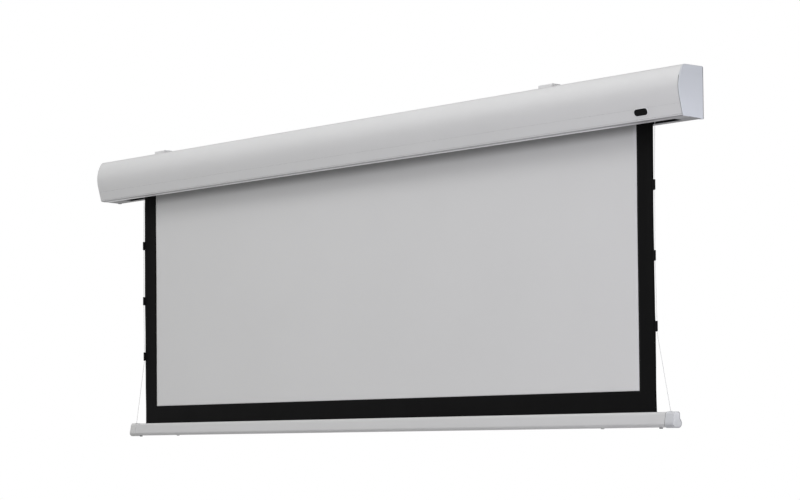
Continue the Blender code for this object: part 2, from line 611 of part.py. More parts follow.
# the keder channel opens through the top: insert it between the two top corners
i_split = 6
channel = [(KEY_Y - slot_w, BAR_TOP_Z)]
for i in range(13):
    a = radians(113) + radians(314) * i / 12
    channel.append((KEY_Y + KEY_R * cos(a), KEY_Z + KEY_R * sin(a)))
channel.append((KEY_Y + slot_w, BAR_TOP_Z))
section = top[:i_split] + channel + top[i_split:]
hollow = circle(LOBE_Y - 0.6, LOBE_Z, 8.4, 24)
X_IN = BAR_HALF - BAR_CAP
prism("bar_profile", [section, hollow], BAR_X - X_IN + GAP, BAR_X + X_IN - GAP,
      WHITE_PAINT, BAR, BAR_O)
turned("ballast_rod", [(BAR_X - X_IN + 8, 0), (BAR_X - X_IN + 8, 7.7),
                       (BAR_X + X_IN - 8, 7.7), (BAR_X + X_IN - 8, 0)],
       (0, LOBE_Y - 0.6, LOBE_Z), STEEL, BAR, BAR_O, seg=24)
turned("hem_rod", [(FAB_L + 2, 0), (FAB_L + 2, 2.6), (FAB_R - 2, 2.6), (FAB_R - 2, 0)],
       (0, KEY_Y, KEY_Z - 0.6), STEEL, BAR, BAR_O, seg=12)

POCKET = (BAR_TOP_Z - 36.0, BAR_TOP_Z - 5.0)      # lowest and highest z of the pocket
for side, name in ((-1, "bar_cap_left"), (1, "bar_cap_right")):
    xs = sorted((BAR_X + side * X_IN, BAR_X + side * BAR_HALF))
    x_eye = BAR_X + side * CORD_END_X
    cap = prism(name, [bar_outline(0.8)], xs[0], xs[1], CAP_WHITE, BAR, BAR_O)
    # cord eye from the top, meeting the adjuster's well from below
    bm = bmesh.new()
    bmesh.ops.create_cone(bm, cap_ends=True, segments=16, radius1=2.4, radius2=2.4, depth=30.0)
    bmesh.ops.translate(bm, vec=(x_eye, FABRIC_Y, BAR_TOP_Z - 8.0), verts=bm.verts)
    cut(cap, finish(bm, name + "_eye", CAP_WHITE))
    # pocket for the spring, open towards the bar
    bm = bmesh.new()
    bmesh.ops.create_cube(bm, size=1.0)
    px = sorted((BAR_X + side * (X_IN - 2.0), BAR_X + side * (CORD_END_X + 6.0)))
    for v in bm.verts:
        v.co = Vector((px[0] if v.co.x < 0 else px[1],
                       FABRIC_Y - 5.6 if v.co.y < 0 else FABRIC_Y + 5.6,
                       POCKET[0] if v.co.z < 0 else POCKET[1]))
    cut(cap, finish(bm, name + "_pocket", CAP_WHITE, smooth=False))

# compression spring round each cord's end, held by a ferrule crimped on the cord
for side, tag in ((-1, "left"), (1, "right")):
    x = BAR_X + side * CORD_END_X
    turned("cord_ferrule_" + tag,
           [(BAR_TOP_Z - 33.5, 1.3), (BAR_TOP_Z - 33.5, 4.4), (BAR_TOP_Z - 31.0, 4.4),
            (BAR_TOP_Z - 29.0, 3.0), (BAR_TOP_Z - 29.0, 1.3)],
           (x, FABRIC_Y, 0), BRASS, BAR, BAR_O, axis="Z", seg=16)
    turns, per = 6, 10
    z0, z1 = BAR_TOP_Z - 28.0, BAR_TOP_Z - 6.2
    pts = [(x + 3.5 * cos(2 * pi * i / per), FABRIC_Y + 3.5 * sin(2 * pi * i / per),
            z0 + (z1 - z0) * i / (turns * per)) for i in range(turns * per + 1)]
    tube_curve("cord_spring_" + tag, pts, 0.5, STEEL, parent=BAR, origin=BAR_O)

# tension adjusters: knurled thumbscrews under the bar's ends
for side, name in ((-1, "adjuster_left"), (1, "adjuster_right")):
    x = BAR_X + side * ADJUSTER_X
    e = axis_empty(name + "_axis", (x, STUD_Y, BAR_BOT_Z))
    e.parent = BAR
    e.location = (Vector((x, STUD_Y, BAR_BOT_Z)) - Vector(BAR_O)) * MM
    bm = bmesh.new()
    n = 24
    z0, z1 = BAR_BOT_Z - GAP, BAR_BOT_Z - 3.2
    rings = []
    for z, r in ((z0, 4.4), (z0 - 0.6, 5.0), (z1 + 0.6, 5.0), (z1, 4.2)):
        rings.append([bm.verts.new((x + (r - 0.35 * (i % 2)) * cos(2 * pi * i / n),
                                    STUD_Y + (r - 0.35 * (i % 2)) * sin(2 * pi * i / n), z))
                      for i in range(n)])
    for a, b in zip(rings, rings[1:]):
        for i in range(n):
            j = (i + 1) % n
            bm.faces.new((a[i], a[j], b[j], b[i]))
    bm.faces.new(rings[0])
    bm.faces.new(rings[-1])
    bmesh.ops.recalc_face_normals(bm, faces=bm.faces)
    for v in bm.verts:
        v.co = (v.co - Vector((x, STUD_Y, BAR_BOT_Z))) * MM
    me = bpy.data.meshes.new(name)
    bm.to_mesh(me)
    bm.free()
    me.materials.append(GREY_PLASTIC)
    ob = bpy.data.objects.new(name, me)
    COL.objects.link(ob)
    ob.parent = e

# screws that lock the ballast, further in under the bar
for side, name in ((-1, "lock_screw_left"), (1, "lock_screw_right")):
    x = BAR_X + side * LOCK_X
    turned(name, [(BAR_BOT_Z - GAP, 0), (BAR_BOT_Z - GAP, 5.0), (BAR_BOT_Z - 1.3, 4.4),
                  (BAR_BOT_Z - 2.0, 3.0), (BAR_BOT_Z - 2.0, 0)],
           (x, STUD_Y, 0), GREY_PLASTIC, BAR, BAR_O, axis="Z", seg=16)

# ---------------------------------------------------------------- brackets
for bx, tag in zip(BRACKET_X, ("left", "right")):
    e = axis_empty("bracket_%s_slide" % tag, (bx, RAIL_Y, TOP_Z))
    o = (bx, RAIL_Y, TOP_Z)
    t = 2.5
    z0, z1 = TOP_Z + GAP, BRACKET_TOP_Z
    y0, y1 = BRACKET_FRONT_Y, 0.0
    sec = [(y0 + t, z0), (y1 - 1.0, z0), (y1, z0 + 1.0), (y1, z1 - 1.0), (y1 - 1.0, z1),
           (y0 + 1.0, z1), (y0, z1 - 1.0), (y0, z0 + 4.5), (y0 + t, z0 + 4.5),
           (y0 + t, z1 - t), (y1 - t, z1 - t), (y1 - t, z0 + t), (y0 + t, z0 + t)]
    br = prism("bracket_" + tag, [sec], bx - BRACKET_W / 2, bx + BRACKET_W / 2,
               BRACKET_WHITE, e, o, smooth=False)
    # slotted ceiling holes in the top plate and wall holes in the rear plate
    for k in (-1, 1):
        bm = bmesh.new()
        bmesh.ops.create_cone(bm, cap_ends=True, segments=20, radius1=3.3, radius2=3.3,
                              depth=12.0)
        bmesh.ops.translate(bm, vec=(bx + k * 17.0, RAIL_Y, z1), verts=bm.verts)
        cut(br, finish(bm, "bracket_%s_top_hole_%d" % (tag, k + 1), STEEL))
        bm = bmesh.new()
        bmesh.ops.create_cone(bm, cap_ends=True, segments=20, radius1=3.0, radius2=3.0,
                              depth=12.0)
        bmesh.ops.rotate(bm, cent=(0, 0, 0), matrix=Matrix.Rotation(pi / 2, 3, "X"),
                         verts=bm.verts)
        bmesh.ops.translate(bm, vec=(bx + k * 17.0, y1, (z0 + z1) / 2 + 0.6), verts=bm.verts)
        cut(br, finish(bm, "bracket_%s_wall_hole_%d" % (tag, k + 1), STEEL))
    bm = bmesh.new()
    bmesh.ops.create_cone(bm, cap_ends=True, segments=20, radius1=3.3, radius2=3.3, depth=6.0)
    bmesh.ops.translate(bm, vec=(bx, RAIL_Y, z0 + 1.0), verts=bm.verts)
    cut(br, finish(bm, "bracket_%s_bolt_hole" % tag, STEEL))
    # clamp bolt down into a sliding nut in the rail
    turned("clamp_bolt_" + tag,
           [(TOP_Z - 6.6, 0), (TOP_Z - 6.6, 2.6), (z0 + t + GAP, 2.6), (z0 + t + GAP, 5.0),
            (z0 + t + 4.6, 5.0), (z0 + t + 4.6, 0)],
           (bx, RAIL_Y, 0), STEEL, e, o, axis="Z", seg=12)
    nut_outer = [(bx - 9, RAIL_Y - 7.0), (bx + 9, RAIL_Y - 7.0), (bx + 9, RAIL_Y + 7.0),
                 (bx - 9, RAIL_Y + 7.0)]
    nut_hole = [(bx + 2.95 * cos(2 * pi * i / 12), RAIL_Y + 2.95 * sin(2 * pi * i / 12))
                for i in range(12)]
    prism("rail_nut_" + tag, [nut_outer, nut_hole], TOP_Z - 7.2, TOP_Z - WALL - GAP, STEEL,
          e, o, axis="Z", smooth=False)
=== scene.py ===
from math import sin, cos, pi, radians, sqrt, atan2, exp

import bpy
import bmesh
import numpy as np
from mathutils import Vector, Matrix


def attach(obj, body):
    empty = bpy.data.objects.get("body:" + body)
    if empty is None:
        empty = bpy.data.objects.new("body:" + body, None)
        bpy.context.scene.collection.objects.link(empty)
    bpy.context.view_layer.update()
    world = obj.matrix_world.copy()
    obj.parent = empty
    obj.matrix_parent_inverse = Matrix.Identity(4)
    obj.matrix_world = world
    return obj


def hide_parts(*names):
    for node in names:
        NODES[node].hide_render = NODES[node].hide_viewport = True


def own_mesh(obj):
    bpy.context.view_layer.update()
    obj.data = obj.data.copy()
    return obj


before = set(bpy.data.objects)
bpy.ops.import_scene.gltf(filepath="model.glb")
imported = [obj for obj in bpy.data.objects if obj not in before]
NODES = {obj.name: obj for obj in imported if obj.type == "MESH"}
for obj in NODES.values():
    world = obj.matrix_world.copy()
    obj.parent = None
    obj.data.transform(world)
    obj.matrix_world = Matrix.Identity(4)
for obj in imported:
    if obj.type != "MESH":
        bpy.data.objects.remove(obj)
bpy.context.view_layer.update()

SC = bpy.context.scene
MM = 0.001

# ------------------------------------------------------------------ dimensions, mm
CASE_HALF, CAP_T, WALL, GAP = 1341.0, 4.0, 2.2, 0.3
TOP_Z, BOT_FRONT_Z, BOT_REAR_Z = 70.5, -63.5, -65.2
FOOT_Z = -67.0
CREASE_Z, GROOVE_Z = -31.0, -60.0
SLOT_FRONT_Y, SLOT_REAR_Y, SLOT_HALF = -53.5, -20.5, 1265.0
RAIL_Y = -16.0
SCREEN_X, VIEW_W, VIEW_BOTTOM_Z = 20.0, 2214.0, -763.0
SIDE_BORDER = 60.8
FABRIC_Y = -28.15
ROLLER_Y, ROLLER_Z = -56.5, 9.0
TUBE_R, WOUND_R = 25.0, 27.7
BAR_X, BAR_HALF, BAR_CAP = 15.0, 1241.5, 30.5
BAR_TOP_Z, BAR_BOT_Z = -820.5, -860.2
TAB_Z = (-225.0, -410.5, -596.0)
TAB_H, TAB_OUT = 27.6, 9.2
BRACKET_X, BRACKET_W = (-1059.0, 788.0), 54.0
BRACKET_FRONT_Y, BRACKET_TOP_Z = -32.5, 87.0
BADGE_X, BADGE_Z, BADGE_W, BADGE_H = 1198.0, -40.0, 47.5, 18.0
FAB_HALF = VIEW_W / 2 + SIDE_BORDER
CORD_X, CORD_Y, CORD_TOP_X = FAB_HALF + 6.5, FABRIC_Y - 4.3, 1175.5
STUD_Y, ADJUSTER_X, LOCK_X = -31.5, 1189.0, 976.0
CORD_END_X = 1221.0
HEM_Z = BAR_TOP_Z - 7.0
SHELL_END = CASE_HALF - CAP_T - GAP
X_IN = BAR_HALF - BAR_CAP
LEFT_OUT = 2.6               # the left border stands this much further out


# ------------------------------------------------------------------ node helpers
class Mat:
    """A node-based material around one Principled shader."""

    def __init__(self, name, rough=0.5, metal=0.0, spec=0.5, ior=1.5):
        self.m = bpy.data.materials.new(name)
        self.m.use_nodes = True
        self.t = self.m.node_tree
        self.b = self.t.nodes["Principled BSDF"]
        self.b.inputs["Roughness"].default_value = rough
        self.b.inputs["Metallic"].default_value = metal
        self.b.inputs["Specular IOR Level"].default_value = spec
        self.b.inputs["IOR"].default_value = ior
        self.co = self.t.nodes.new("ShaderNodeTexCoord").outputs["Object"]
        self.normal = None

    def link(self, a, b):
        self.t.links.new(a, b)

    def scaled(self, scale, rot=(0, 0, 0)):
        n = self.t.nodes.new("ShaderNodeMapping")
        n.inputs["Scale"].default_value = scale
        n.inputs["Rotation"].default_value = rot
        self.link(self.co, n.inputs["Vector"])
        return n.outputs["Vector"]

    def noise(self, scale, detail=3.0, rough=0.55, vec=None, distort=0.0):
        n = self.t.nodes.new("ShaderNodeTexNoise")
        n.inputs["Scale"].default_value = scale
        n.inputs["Detail"].default_value = detail
        n.inputs["Roughness"].default_value = rough
        n.inputs["Distortion"].default_value = distort
        self.link(vec or self.co, n.inputs["Vector"])
        return n.outputs["Fac"]

    def voronoi(self, scale, vec=None, feature="F1"):
        n = self.t.nodes.new("ShaderNodeTexVoronoi")
        n.feature = feature
        n.inputs["Scale"].default_value = scale
        self.link(vec or self.co, n.inputs["Vector"])
        return n.outputs["Distance"]

    def wave(self, scale, direction="X", vec=None, distort=0.0, profile="SIN"):
        n = self.t.nodes.new("ShaderNodeTexWave")
        n.bands_direction = direction
        n.wave_profile = profile
        n.inputs["Scale"].default_value = scale
        n.inputs["Distortion"].default_value = distort
        self.link(vec or self.co, n.inputs["Vector"])
        return n.outputs["Fac"]

    def axis(self, which):
        n = self.t.nodes.new("ShaderNodeSeparateXYZ")
        self.link(self.co, n.inputs[0])
        return n.outputs[which]

    def range(self, v, a, b, c, d, kind="LINEAR"):
        n = self.t.nodes.new("ShaderNodeMapRange")
        n.interpolation_type = kind
        self.link(v, n.inputs["Value"])
        for k, x in zip(("From Min", "From Max", "To Min", "To Max"), (a, b, c, d)):
            n.inputs[k].default_value = x
        return n.outputs["Result"]

    def math(self, op, a, b=None, clamp=False):
        n = self.t.nodes.new("ShaderNodeMath")
        n.operation = op
        n.use_clamp = clamp
        for k, x in enumerate((a, b)):
            if x is None:
                continue
            if isinstance(x, (int, float)):
                n.inputs[k].default_value = x
            else:
                self.link(x, n.inputs[k])
        return n.outputs[0]

    def ramp(self, v, stops):
        n = self.t.nodes.new("ShaderNodeValToRGB")
        e = n.color_ramp.elements
        while len(e) < len(stops):
            e.new(0.5)
        for el, (p, c) in zip(e, stops):
            el.position = p
            el.color = (*c, 1.0)
        self.link(v, n.inputs["Fac"])
        return n.outputs["Color"]

    def mix(self, fac, a, b, blend="MIX"):
        n = self.t.nodes.new("ShaderNodeMix")
        n.data_type = "RGBA"
        n.blend_type = blend
        for sock, x in ((n.inputs[0], fac), (n.inputs[6], a), (n.inputs[7], b)):
            if isinstance(x, (int, float)):
                sock.default_value = x
            elif isinstance(x, tuple):
                sock.default_value = (*x, 1.0)
            else:
                self.link(x, sock)
        return n.outputs[2]

    def color(self, sock):
        self.link(sock, self.b.inputs["Base Color"])

    def rough(self, sock):
        self.link(sock, self.b.inputs["Roughness"])

    def bump(self, height, strength, dist):
        n = self.t.nodes.new("ShaderNodeBump")
        n.inputs["Strength"].default_value = strength
        n.inputs["Distance"].default_value = dist
        self.link(height, n.inputs["Height"])
        if self.normal is not None:
            self.link(self.normal, n.inputs["Normal"])
        self.normal = n.outputs["Normal"]
        self.link(self.normal, self.b.inputs["Normal"])


def shade(c, k):
    return tuple(min(1.0, x * k) for x in c)


def coated(name, color, rough=(0.36, 0.46), spec=0.4, streak=True, spread=0.018, light_shade_ramp=None,
           along="Z"):
    """Powder coat: faint cloudiness, fine speckle, orange peel, and faint lines along
    the extrusion under it. The axis ramp (low, high, share at the low, share at the high) scales the tone:
    painted light and shade."""
    m = Mat(name, spec=spec)
    cloud = m.noise(4.0, 4.0, 0.6)
    speck = m.noise(1400.0, 2.0, 0.7)
    both = m.math("ADD", m.math("MULTIPLY", cloud, 0.7), m.math("MULTIPLY", speck, 0.3))
    coat = m.ramp(both, [(0.30, shade(color, 1 - spread)), (0.70, shade(color, 1 + spread))])
    if light_shade_ramp:
        coat = m.mix(1.0, coat, m.range(m.axis(along), *light_shade_ramp), "MULTIPLY")
    m.color(coat)
    m.rough(m.range(m.noise(60.0, 3.0), 0.3, 0.7, *rough))
    m.bump(m.noise(650.0, 2.0, 0.5), 0.10, 0.00012)
    if streak:
        m.bump(m.noise(1.0, 3.0, 0.6, vec=m.scaled((1.2, 520.0, 520.0))), 0.06, 0.0001)
    return m.m


def moulded(name, color, rough=(0.42, 0.55), spec=0.4, grain=1100.0, depth=0.00010,
            spread=0.02, light_shade_ramp=None):
    """Moulded plastic: fine spark-eroded grain, slightly uneven gloss and tone. The z ramp
    (low z, high z, share at the low, share at the high) scales the tone along z: painted light and shade."""
    m = Mat(name, spec=spec)
    tone = m.math("ADD", m.math("MULTIPLY", m.noise(9.0, 4.0), 0.65),
                  m.math("MULTIPLY", m.noise(1700.0, 2.0), 0.35))
    coat = m.ramp(tone, [(0.3, shade(color, 1 - spread)), (0.7, shade(color, 1 + spread))])
    if light_shade_ramp:
        coat = m.mix(1.0, coat, m.range(m.axis("Z"), *light_shade_ramp), "MULTIPLY")
    m.color(coat)
    m.rough(m.range(m.noise(45.0, 3.0), 0.3, 0.7, *rough))
    m.bump(m.voronoi(grain), 0.16, depth)
    m.bump(m.noise(grain * 0.4, 3.0), 0.10, depth)
    return m.m


def metal(name, color, rough=(0.22, 0.42), along=(3.0, 900.0, 900.0), depth=0.00008, spots=0.0):
    """Rolled or drawn metal: fine lines one way, patches of duller tone."""
    m = Mat(name, metal=1.0)
    lines = m.noise(1.0, 4.0, 0.65, vec=m.scaled(along))
    patch = m.noise(38.0, 4.0, 0.6)
    tone = m.math("ADD", m.math("MULTIPLY", lines, 0.45), m.math("MULTIPLY", patch, 0.55))
    m.color(m.ramp(tone, [(0.28, shade(color, 0.82)), (0.52, color), (0.75, shade(color, 1.12))]))
    m.rough(m.range(tone, 0.3, 0.7, *rough))
    m.bump(lines, 0.25, depth)
    if spots:
        m.bump(m.voronoi(spots), 0.15, depth)
    return m.m


def fabric_front(name, color):
    """Projection surface: even grey with an extremely fine weave and faint cloudiness."""
    m = Mat(name, rough=0.9, spec=0.12)
    cloud = m.noise(2.2, 4.0, 0.55)
    fleck = m.noise(2200.0, 2.0, 0.6)
    tone = m.math("ADD", m.math("MULTIPLY", cloud, 0.6), m.math("MULTIPLY", fleck, 0.4))
    # painted shadow of the case, darkest in the last centimetres under the slot
    slot_shadow = m.range(m.axis("Z"), -0.095, -0.064, 1.0, 0.56, "SMOOTHSTEP")
    m.color(m.mix(1.0, m.ramp(tone, [(0.3, shade(color, 0.985)), (0.7, shade(color, 1.015))]),
                  slot_shadow, "MULTIPLY"))
    m.rough(m.range(fleck, 0.3, 0.7, 0.86, 0.94))
    warp = m.wave(360.0, "X")
    weft = m.wave(360.0, "Z")
    m.bump(m.math("MULTIPLY", warp, weft), 0.12, 0.00004)
    m.bump(m.noise(900.0, 3.0), 0.12, 0.00005)
    return m.m


def fabric_black(name, color, ribs=340.0):
    m = Mat(name, rough=0.85, spec=0.07)
    cloud = m.noise(14.0, 4.0, 0.6)
    fleck = m.noise(1500.0, 2.0, 0.6)
    tone = m.math("ADD", m.math("MULTIPLY", cloud, 0.5), m.math("MULTIPLY", fleck, 0.5))
    m.color(m.ramp(tone, [(0.3, shade(color, 0.75)), (0.7, shade(color, 1.3))]))
    m.rough(m.range(cloud, 0.3, 0.7, 0.78, 0.92))
    m.bump(m.math("MULTIPLY", m.wave(ribs, "X"), m.wave(ribs, "Z")), 0.22, 0.00006)
    m.b.inputs["Sheen Weight"].default_value = 0.03
    m.b.inputs["Sheen Roughness"].default_value = 0.5
    return m.m


def braid(name, color):
    """Braided cord: crossing diagonal strands along z."""
    m = Mat(name, rough=0.7, spec=0.25)
    a = m.wave(1.0, "DIAGONAL", vec=m.scaled((420.0, 420.0, 260.0)))
    b = m.wave(1.0, "DIAGONAL", vec=m.scaled((-420.0, 420.0, 260.0)))
    weave = m.math("MAXIMUM", a, b)
    m.color(m.ramp(weave, [(0.25, shade(color, 0.80)), (0.8, shade(color, 1.05))]))
    m.rough(m.range(m.noise(700.0), 0.3, 0.7, 0.6, 0.8))
    m.bump(weave, 0.4, 0.0001)
    m.b.inputs["Alpha"].default_value = 0.62
    return m.m


def board(name):
    """Circuit board: solder mask with faint tracks and pads."""
    m = Mat(name, rough=0.35, spec=0.5)
    n = m.t.nodes.new("ShaderNodeTexBrick")
    n.inputs["Scale"].default_value = 140.0
    n.inputs["Mortar Size"].default_value = 0.05
    n.inputs["Color1"].default_value = (0.015, 0.14, 0.05, 1)
    n.inputs["Color2"].default_value = (0.012, 0.11, 0.045, 1)
    n.inputs["Mortar"].default_value = (0.06, 0.28, 0.10, 1)
    m.link(m.scaled((1.0, 1.0, 1.0), (pi / 2, 0, 0)), n.inputs["Vector"])
    pads = m.range(m.voronoi(260.0), 0.10, 0.16, 1.0, 0.0)
    m.color(m.mix(pads, n.outputs["Color"], (0.55, 0.55, 0.52)))
    m.rough(m.range(m.noise(200.0), 0.3, 0.7, 0.28, 0.45))
    m.bump(n.outputs["Fac"], 0.3, 0.0001)
    return m.m


WHITE = coated("case_powder_coat", (0.684, 0.684, 0.686))
LIP = coated("lip_powder_coat", (0.665, 0.665, 0.669))
# the bar's coat darkens towards its bottom edge: painted shade
BARWHITE = coated("bar_powder_coat", (0.637, 0.637, 0.637), light_shade_ramp=(-0.8530, -0.8485, 0.87, 1.0))
# right end cap: a bluish copy of the cap plastic, lighter towards the bottom and darker at the top: painted
# light; the left cap keeps the plain tone
CAPW_LIT = moulded("end_cap_plastic", (0.608, 0.637, 0.655), light_shade_ramp=(-0.055, 0.050, 1.13, 0.97))
CAPWL = moulded("end_cap_plastic_left", (0.640, 0.640, 0.642))
# near-black rear edge of the end caps: painted shade
CAPRIM_SHADE = moulded("end_cap_rear_rim_painted_shade", (0.095, 0.096, 0.099), rough=(0.75, 0.88), spec=0.05)
# bar caps darker towards the bottom: painted shade
BARCAP = moulded("bar_cap_plastic", (0.635, 0.635, 0.630), grain=900.0,
                 light_shade_ramp=(-0.8555, -0.8480, 0.84, 1.0))
# right bar cap: a bluish copy of the cap plastic, darker towards the bottom: painted light and shade
BARCAPR_LIT = moulded("bar_cap_plastic_right_painted_light", (0.612, 0.622, 0.640), grain=900.0,
                  light_shade_ramp=(-0.8555, -0.8450, 0.78, 1.0))
# brighter copy of the cap plastic for the right end face: painted light
BAREND_LIT = moulded("bar_cap_face_painted_light", (0.700, 0.722, 0.703), grain=900.0,
                 light_shade_ramp=(-0.8570, -0.8330, 0.84, 1.0))
# darker copy for the caps' rims towards the back and bottom: painted shade
BARRIM_SHADE = moulded("bar_cap_rim_painted_shade", (0.400, 0.405, 0.405), rough=(0.75, 0.88), spec=0.05,
                 grain=900.0)
BRACKET = coated("bracket_powder_coat", (0.780, 0.780, 0.782), streak=False)
VIEW = fabric_front("projection_surface", (0.70, 0.70, 0.70))
BACKING = fabric_black("black_backing", (0.010, 0.010, 0.011))
MASK = fabric_black("black_masking", (0.0028, 0.0028, 0.0029))
TABMAT = moulded("tab_plastic", (0.0040, 0.0040, 0.0043), rough=(0.5, 0.65), spec=0.08,
                 spread=0.15)
CORD = braid("tension_cord_braid", (0.78, 0.78, 0.77))
GLOSS = moulded("badge_plastic", (0.003, 0.003, 0.0034), rough=(0.24, 0.34), spec=0.12,
                grain=700.0, depth=0.00002, spread=0.2)
RIM = moulded("badge_rim_plastic", (0.82, 0.82, 0.83), rough=(0.25, 0.38))
STEEL = metal("zinc_plated_steel", (0.56, 0.57, 0.60), spots=160.0)
TUBE = metal("drawn_steel_tube", (0.50, 0.51, 0.53), rough=(0.3, 0.5))
MOTOR = metal("galvanised_motor_tube", (0.46, 0.47, 0.50), rough=(0.34, 0.56), spots=90.0)
BRONZE = metal("sintered_bronze", (0.55, 0.40, 0.20), rough=(0.35, 0.55), spots=700.0)
GREYP = moulded("grey_plastic", (0.22, 0.23, 0.24))
STUD = moulded("stud_grey_plastic", (0.115, 0.12, 0.125), rough=(0.4, 0.55))
BLACKP = moulded("black_plastic", (0.010, 0.010, 0.011), rough=(0.4, 0.55), spec=0.3,
                 spread=0.15)
DARKSCREW = metal("blackened_steel", (0.10, 0.10, 0.105), rough=(0.35, 0.5), spots=300.0)
PCB = board("circuit_board")
# dark grey for down-facing faces of the case: painted shade
UNDER_SHADE = coated("underside_painted_shade", (0.26, 0.26, 0.263))
# lip underside darker: painted shade; strip beside the slot brighter: painted highlight; both dimmer towards
# the right end
LIPUNDER_SHADE = coated("lip_underside_painted_shade", (0.40, 0.40, 0.403), light_shade_ramp=(0.95, 1.20, 1.0, 0.66),
                  along="X")
LIPEDGE_LIT = coated("lip_edge_painted_light", (0.84, 0.84, 0.845), light_shade_ramp=(1.05, 1.26, 1.0, 0.45), along="X")
CHANNEL_GLOW = coated("bracket_inner_painted_glow", (0.86, 0.86, 0.862), streak=False)
# the bracket channel's inner faces glow faintly: painted light
CHANNEL_GLOW.node_tree.nodes["Principled BSDF"].inputs["Emission Color"].default_value = (1, 1, 1, 1)
CHANNEL_GLOW.node_tree.nodes["Principled BSDF"].inputs["Emission Strength"].default_value = 0.085
INSIDE = coated("shaded_inside_coat", (0.012, 0.012, 0.0125), spec=0.1, spread=0.10)


# ------------------------------------------------------------------ mesh helpers
def piece(name, me, mats, body, replaces=(), smooth=True, angle=35.0, bevel=0.0,
          seg=2, limit=32.0):
    for mt in (mats if isinstance(mats, (list, tuple)) else [mats]):
        me.materials.append(mt)
    if smooth:
        me.shade_smooth()
        me.set_sharp_from_angle(angle=radians(angle))
    ob = bpy.data.objects.new(name, me)
    SC.collection.objects.link(ob)
    if bevel:
        b = ob.modifiers.new("edges", "BEVEL")
        b.width = bevel * MM
        b.segments = seg
        b.limit_method = "ANGLE"
        b.angle_limit = radians(limit)
        b.harden_normals = True
        b.use_clamp_overlap = True
    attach(ob, body)
    if replaces:
        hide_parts(*([replaces] if isinstance(replaces, str) else replaces))
    return ob


def to_mesh(bm, name, recalc=True):
    """bmesh in millimetres to a mesh in metres."""
    if recalc:
        bmesh.ops.recalc_face_normals(bm, faces=bm.faces)
    for v in bm.verts:
        v.co *= MM
    me = bpy.data.meshes.new(name)
    bm.to_mesh(me)
    bm.free()
    return me


def bezier(p0, c0, c1, p1, n):
    out = []
    for i in range(n + 1):
        t = i / n
        s = 1 - t
        out.append(tuple(s**3 * a + 3 * s * s * t * b + 3 * s * t * t * c + t**3 * d
                         for a, b, c, d in zip(p0, c0, c1, p1)))
    return out


def circle(cy, cz, r, n=48, start=0.0):
    return [(cy + r * cos(start + 2 * pi * i / n), cz + r * sin(start + 2 * pi * i / n))
            for i in range(n)]


def offset_open(points, d):
    out = []
    for i, p in enumerate(points):
        a, b = points[max(i - 1, 0)], points[min(i + 1, len(points) - 1)]
        t = Vector((b[0] - a[0], b[1] - a[1])).normalized()
        out.append((p[0] - t.y * d, p[1] + t.x * d))
    return out


def area_of(loop):
    return sum(a[0] * b[1] - b[0] * a[1] for a, b in zip(loop, loop[1:] + loop[:1])) / 2


def inset_closed(loop, d):
    """Move a closed outline inwards by d."""
    s = 1.0 if area_of(loop) > 0 else -1.0
    n = len(loop)
    out = []
    for i in range(n):
        p0, p, p1 = Vector(loop[i - 1]), Vector(loop[i]), Vector(loop[(i + 1) % n])
        a, b = (p - p0).normalized(), (p1 - p).normalized()
        na, nb = Vector((-a.y, a.x)) * s, Vector((-b.y, b.x)) * s
        m = na + nb
        m = m.normalized() if m.length > 1e-9 else na
        k = d / max(m.dot(na), 0.35)
        out.append(tuple(p + m * k))
    return out


def soften(loop, r, n=3, least=28.0, closed=True):
    """Round the corners of an outline that turn by more than `least` degrees."""
    out, cnt = [], len(loop)
    for i in range(cnt):
        if not closed and i in (0, cnt - 1):
            out.append(loop[i])
            continue
        p0, p, p1 = Vector(loop[i - 1]), Vector(loop[i]), Vector(loop[(i + 1) % cnt])
        a, b = (p0 - p), (p1 - p)
        la, lb = a.length, b.length
        a, b = a / la, b / lb
        turn = pi - a.angle(b)
        if turn < radians(least):
            out.append(loop[i])
            continue
        d = min(r * abs(sin(turn / 2) / cos(turn / 2)), la * 0.45, lb * 0.45)
        q0, q1 = p + a * d, p + b * d
        for k in range(n + 1):
            t = k / n
            out.append(tuple((1 - t) ** 2 * q0 + 2 * t * (1 - t) * p + t * t * q1))
    return out


def prism_mesh(name, loops, a0, a1, axis="X", ngon=False):
    """Extrude an outline (with holes) along an axis."""
    bm = bmesh.new()
    if axis == "X":
        place, move = (lambda p: (a0, p[0], p[1])), (a1 - a0, 0, 0)
    elif axis == "Y":
        place, move = (lambda p: (p[0], a0, p[1])), (0, a1 - a0, 0)
    else:
        place, move = (lambda p: (p[0], p[1], a0)), (0, 0, a1 - a0)
    if ngon:
        faces = [bm.faces.new([bm.verts.new(place(p)) for p in loops[0]])]
    else:
        edges = []
        for loop in loops:
            vs = [bm.verts.new(place(p)) for p in loop]
            edges += [bm.edges.new((vs[i], vs[(i + 1) % len(vs)])) for i in range(len(vs))]
        bmesh.ops.triangle_fill(bm, use_beauty=True, use_dissolve=False, edges=edges)
        faces = list(bm.faces)
    ext = bmesh.ops.extrude_face_region(bm, geom=faces, use_keep_orig=True)
    bmesh.ops.translate(bm, vec=move, verts=[g for g in ext["geom"]
                                             if isinstance(g, bmesh.types.BMVert)])
    return to_mesh(bm, name)


def rings_mesh(name, rings, cap=True, close=False):
    """Skin a chain of equal closed rings of 3-D points."""
    bm = bmesh.new()
    vs = [[bm.verts.new(p) for p in r] for r in rings]
    pairs = list(zip(vs, vs[1:])) + ([(vs[-1], vs[0])] if close else [])
    for a, b in pairs:
        for i in range(len(a)):
            j = (i + 1) % len(a)
            bm.faces.new((a[i], a[j], b[j], b[i]))
    if cap and not close:
        bm.faces.new(vs[0])
        bm.faces.new(vs[-1])
    return to_mesh(bm, name)


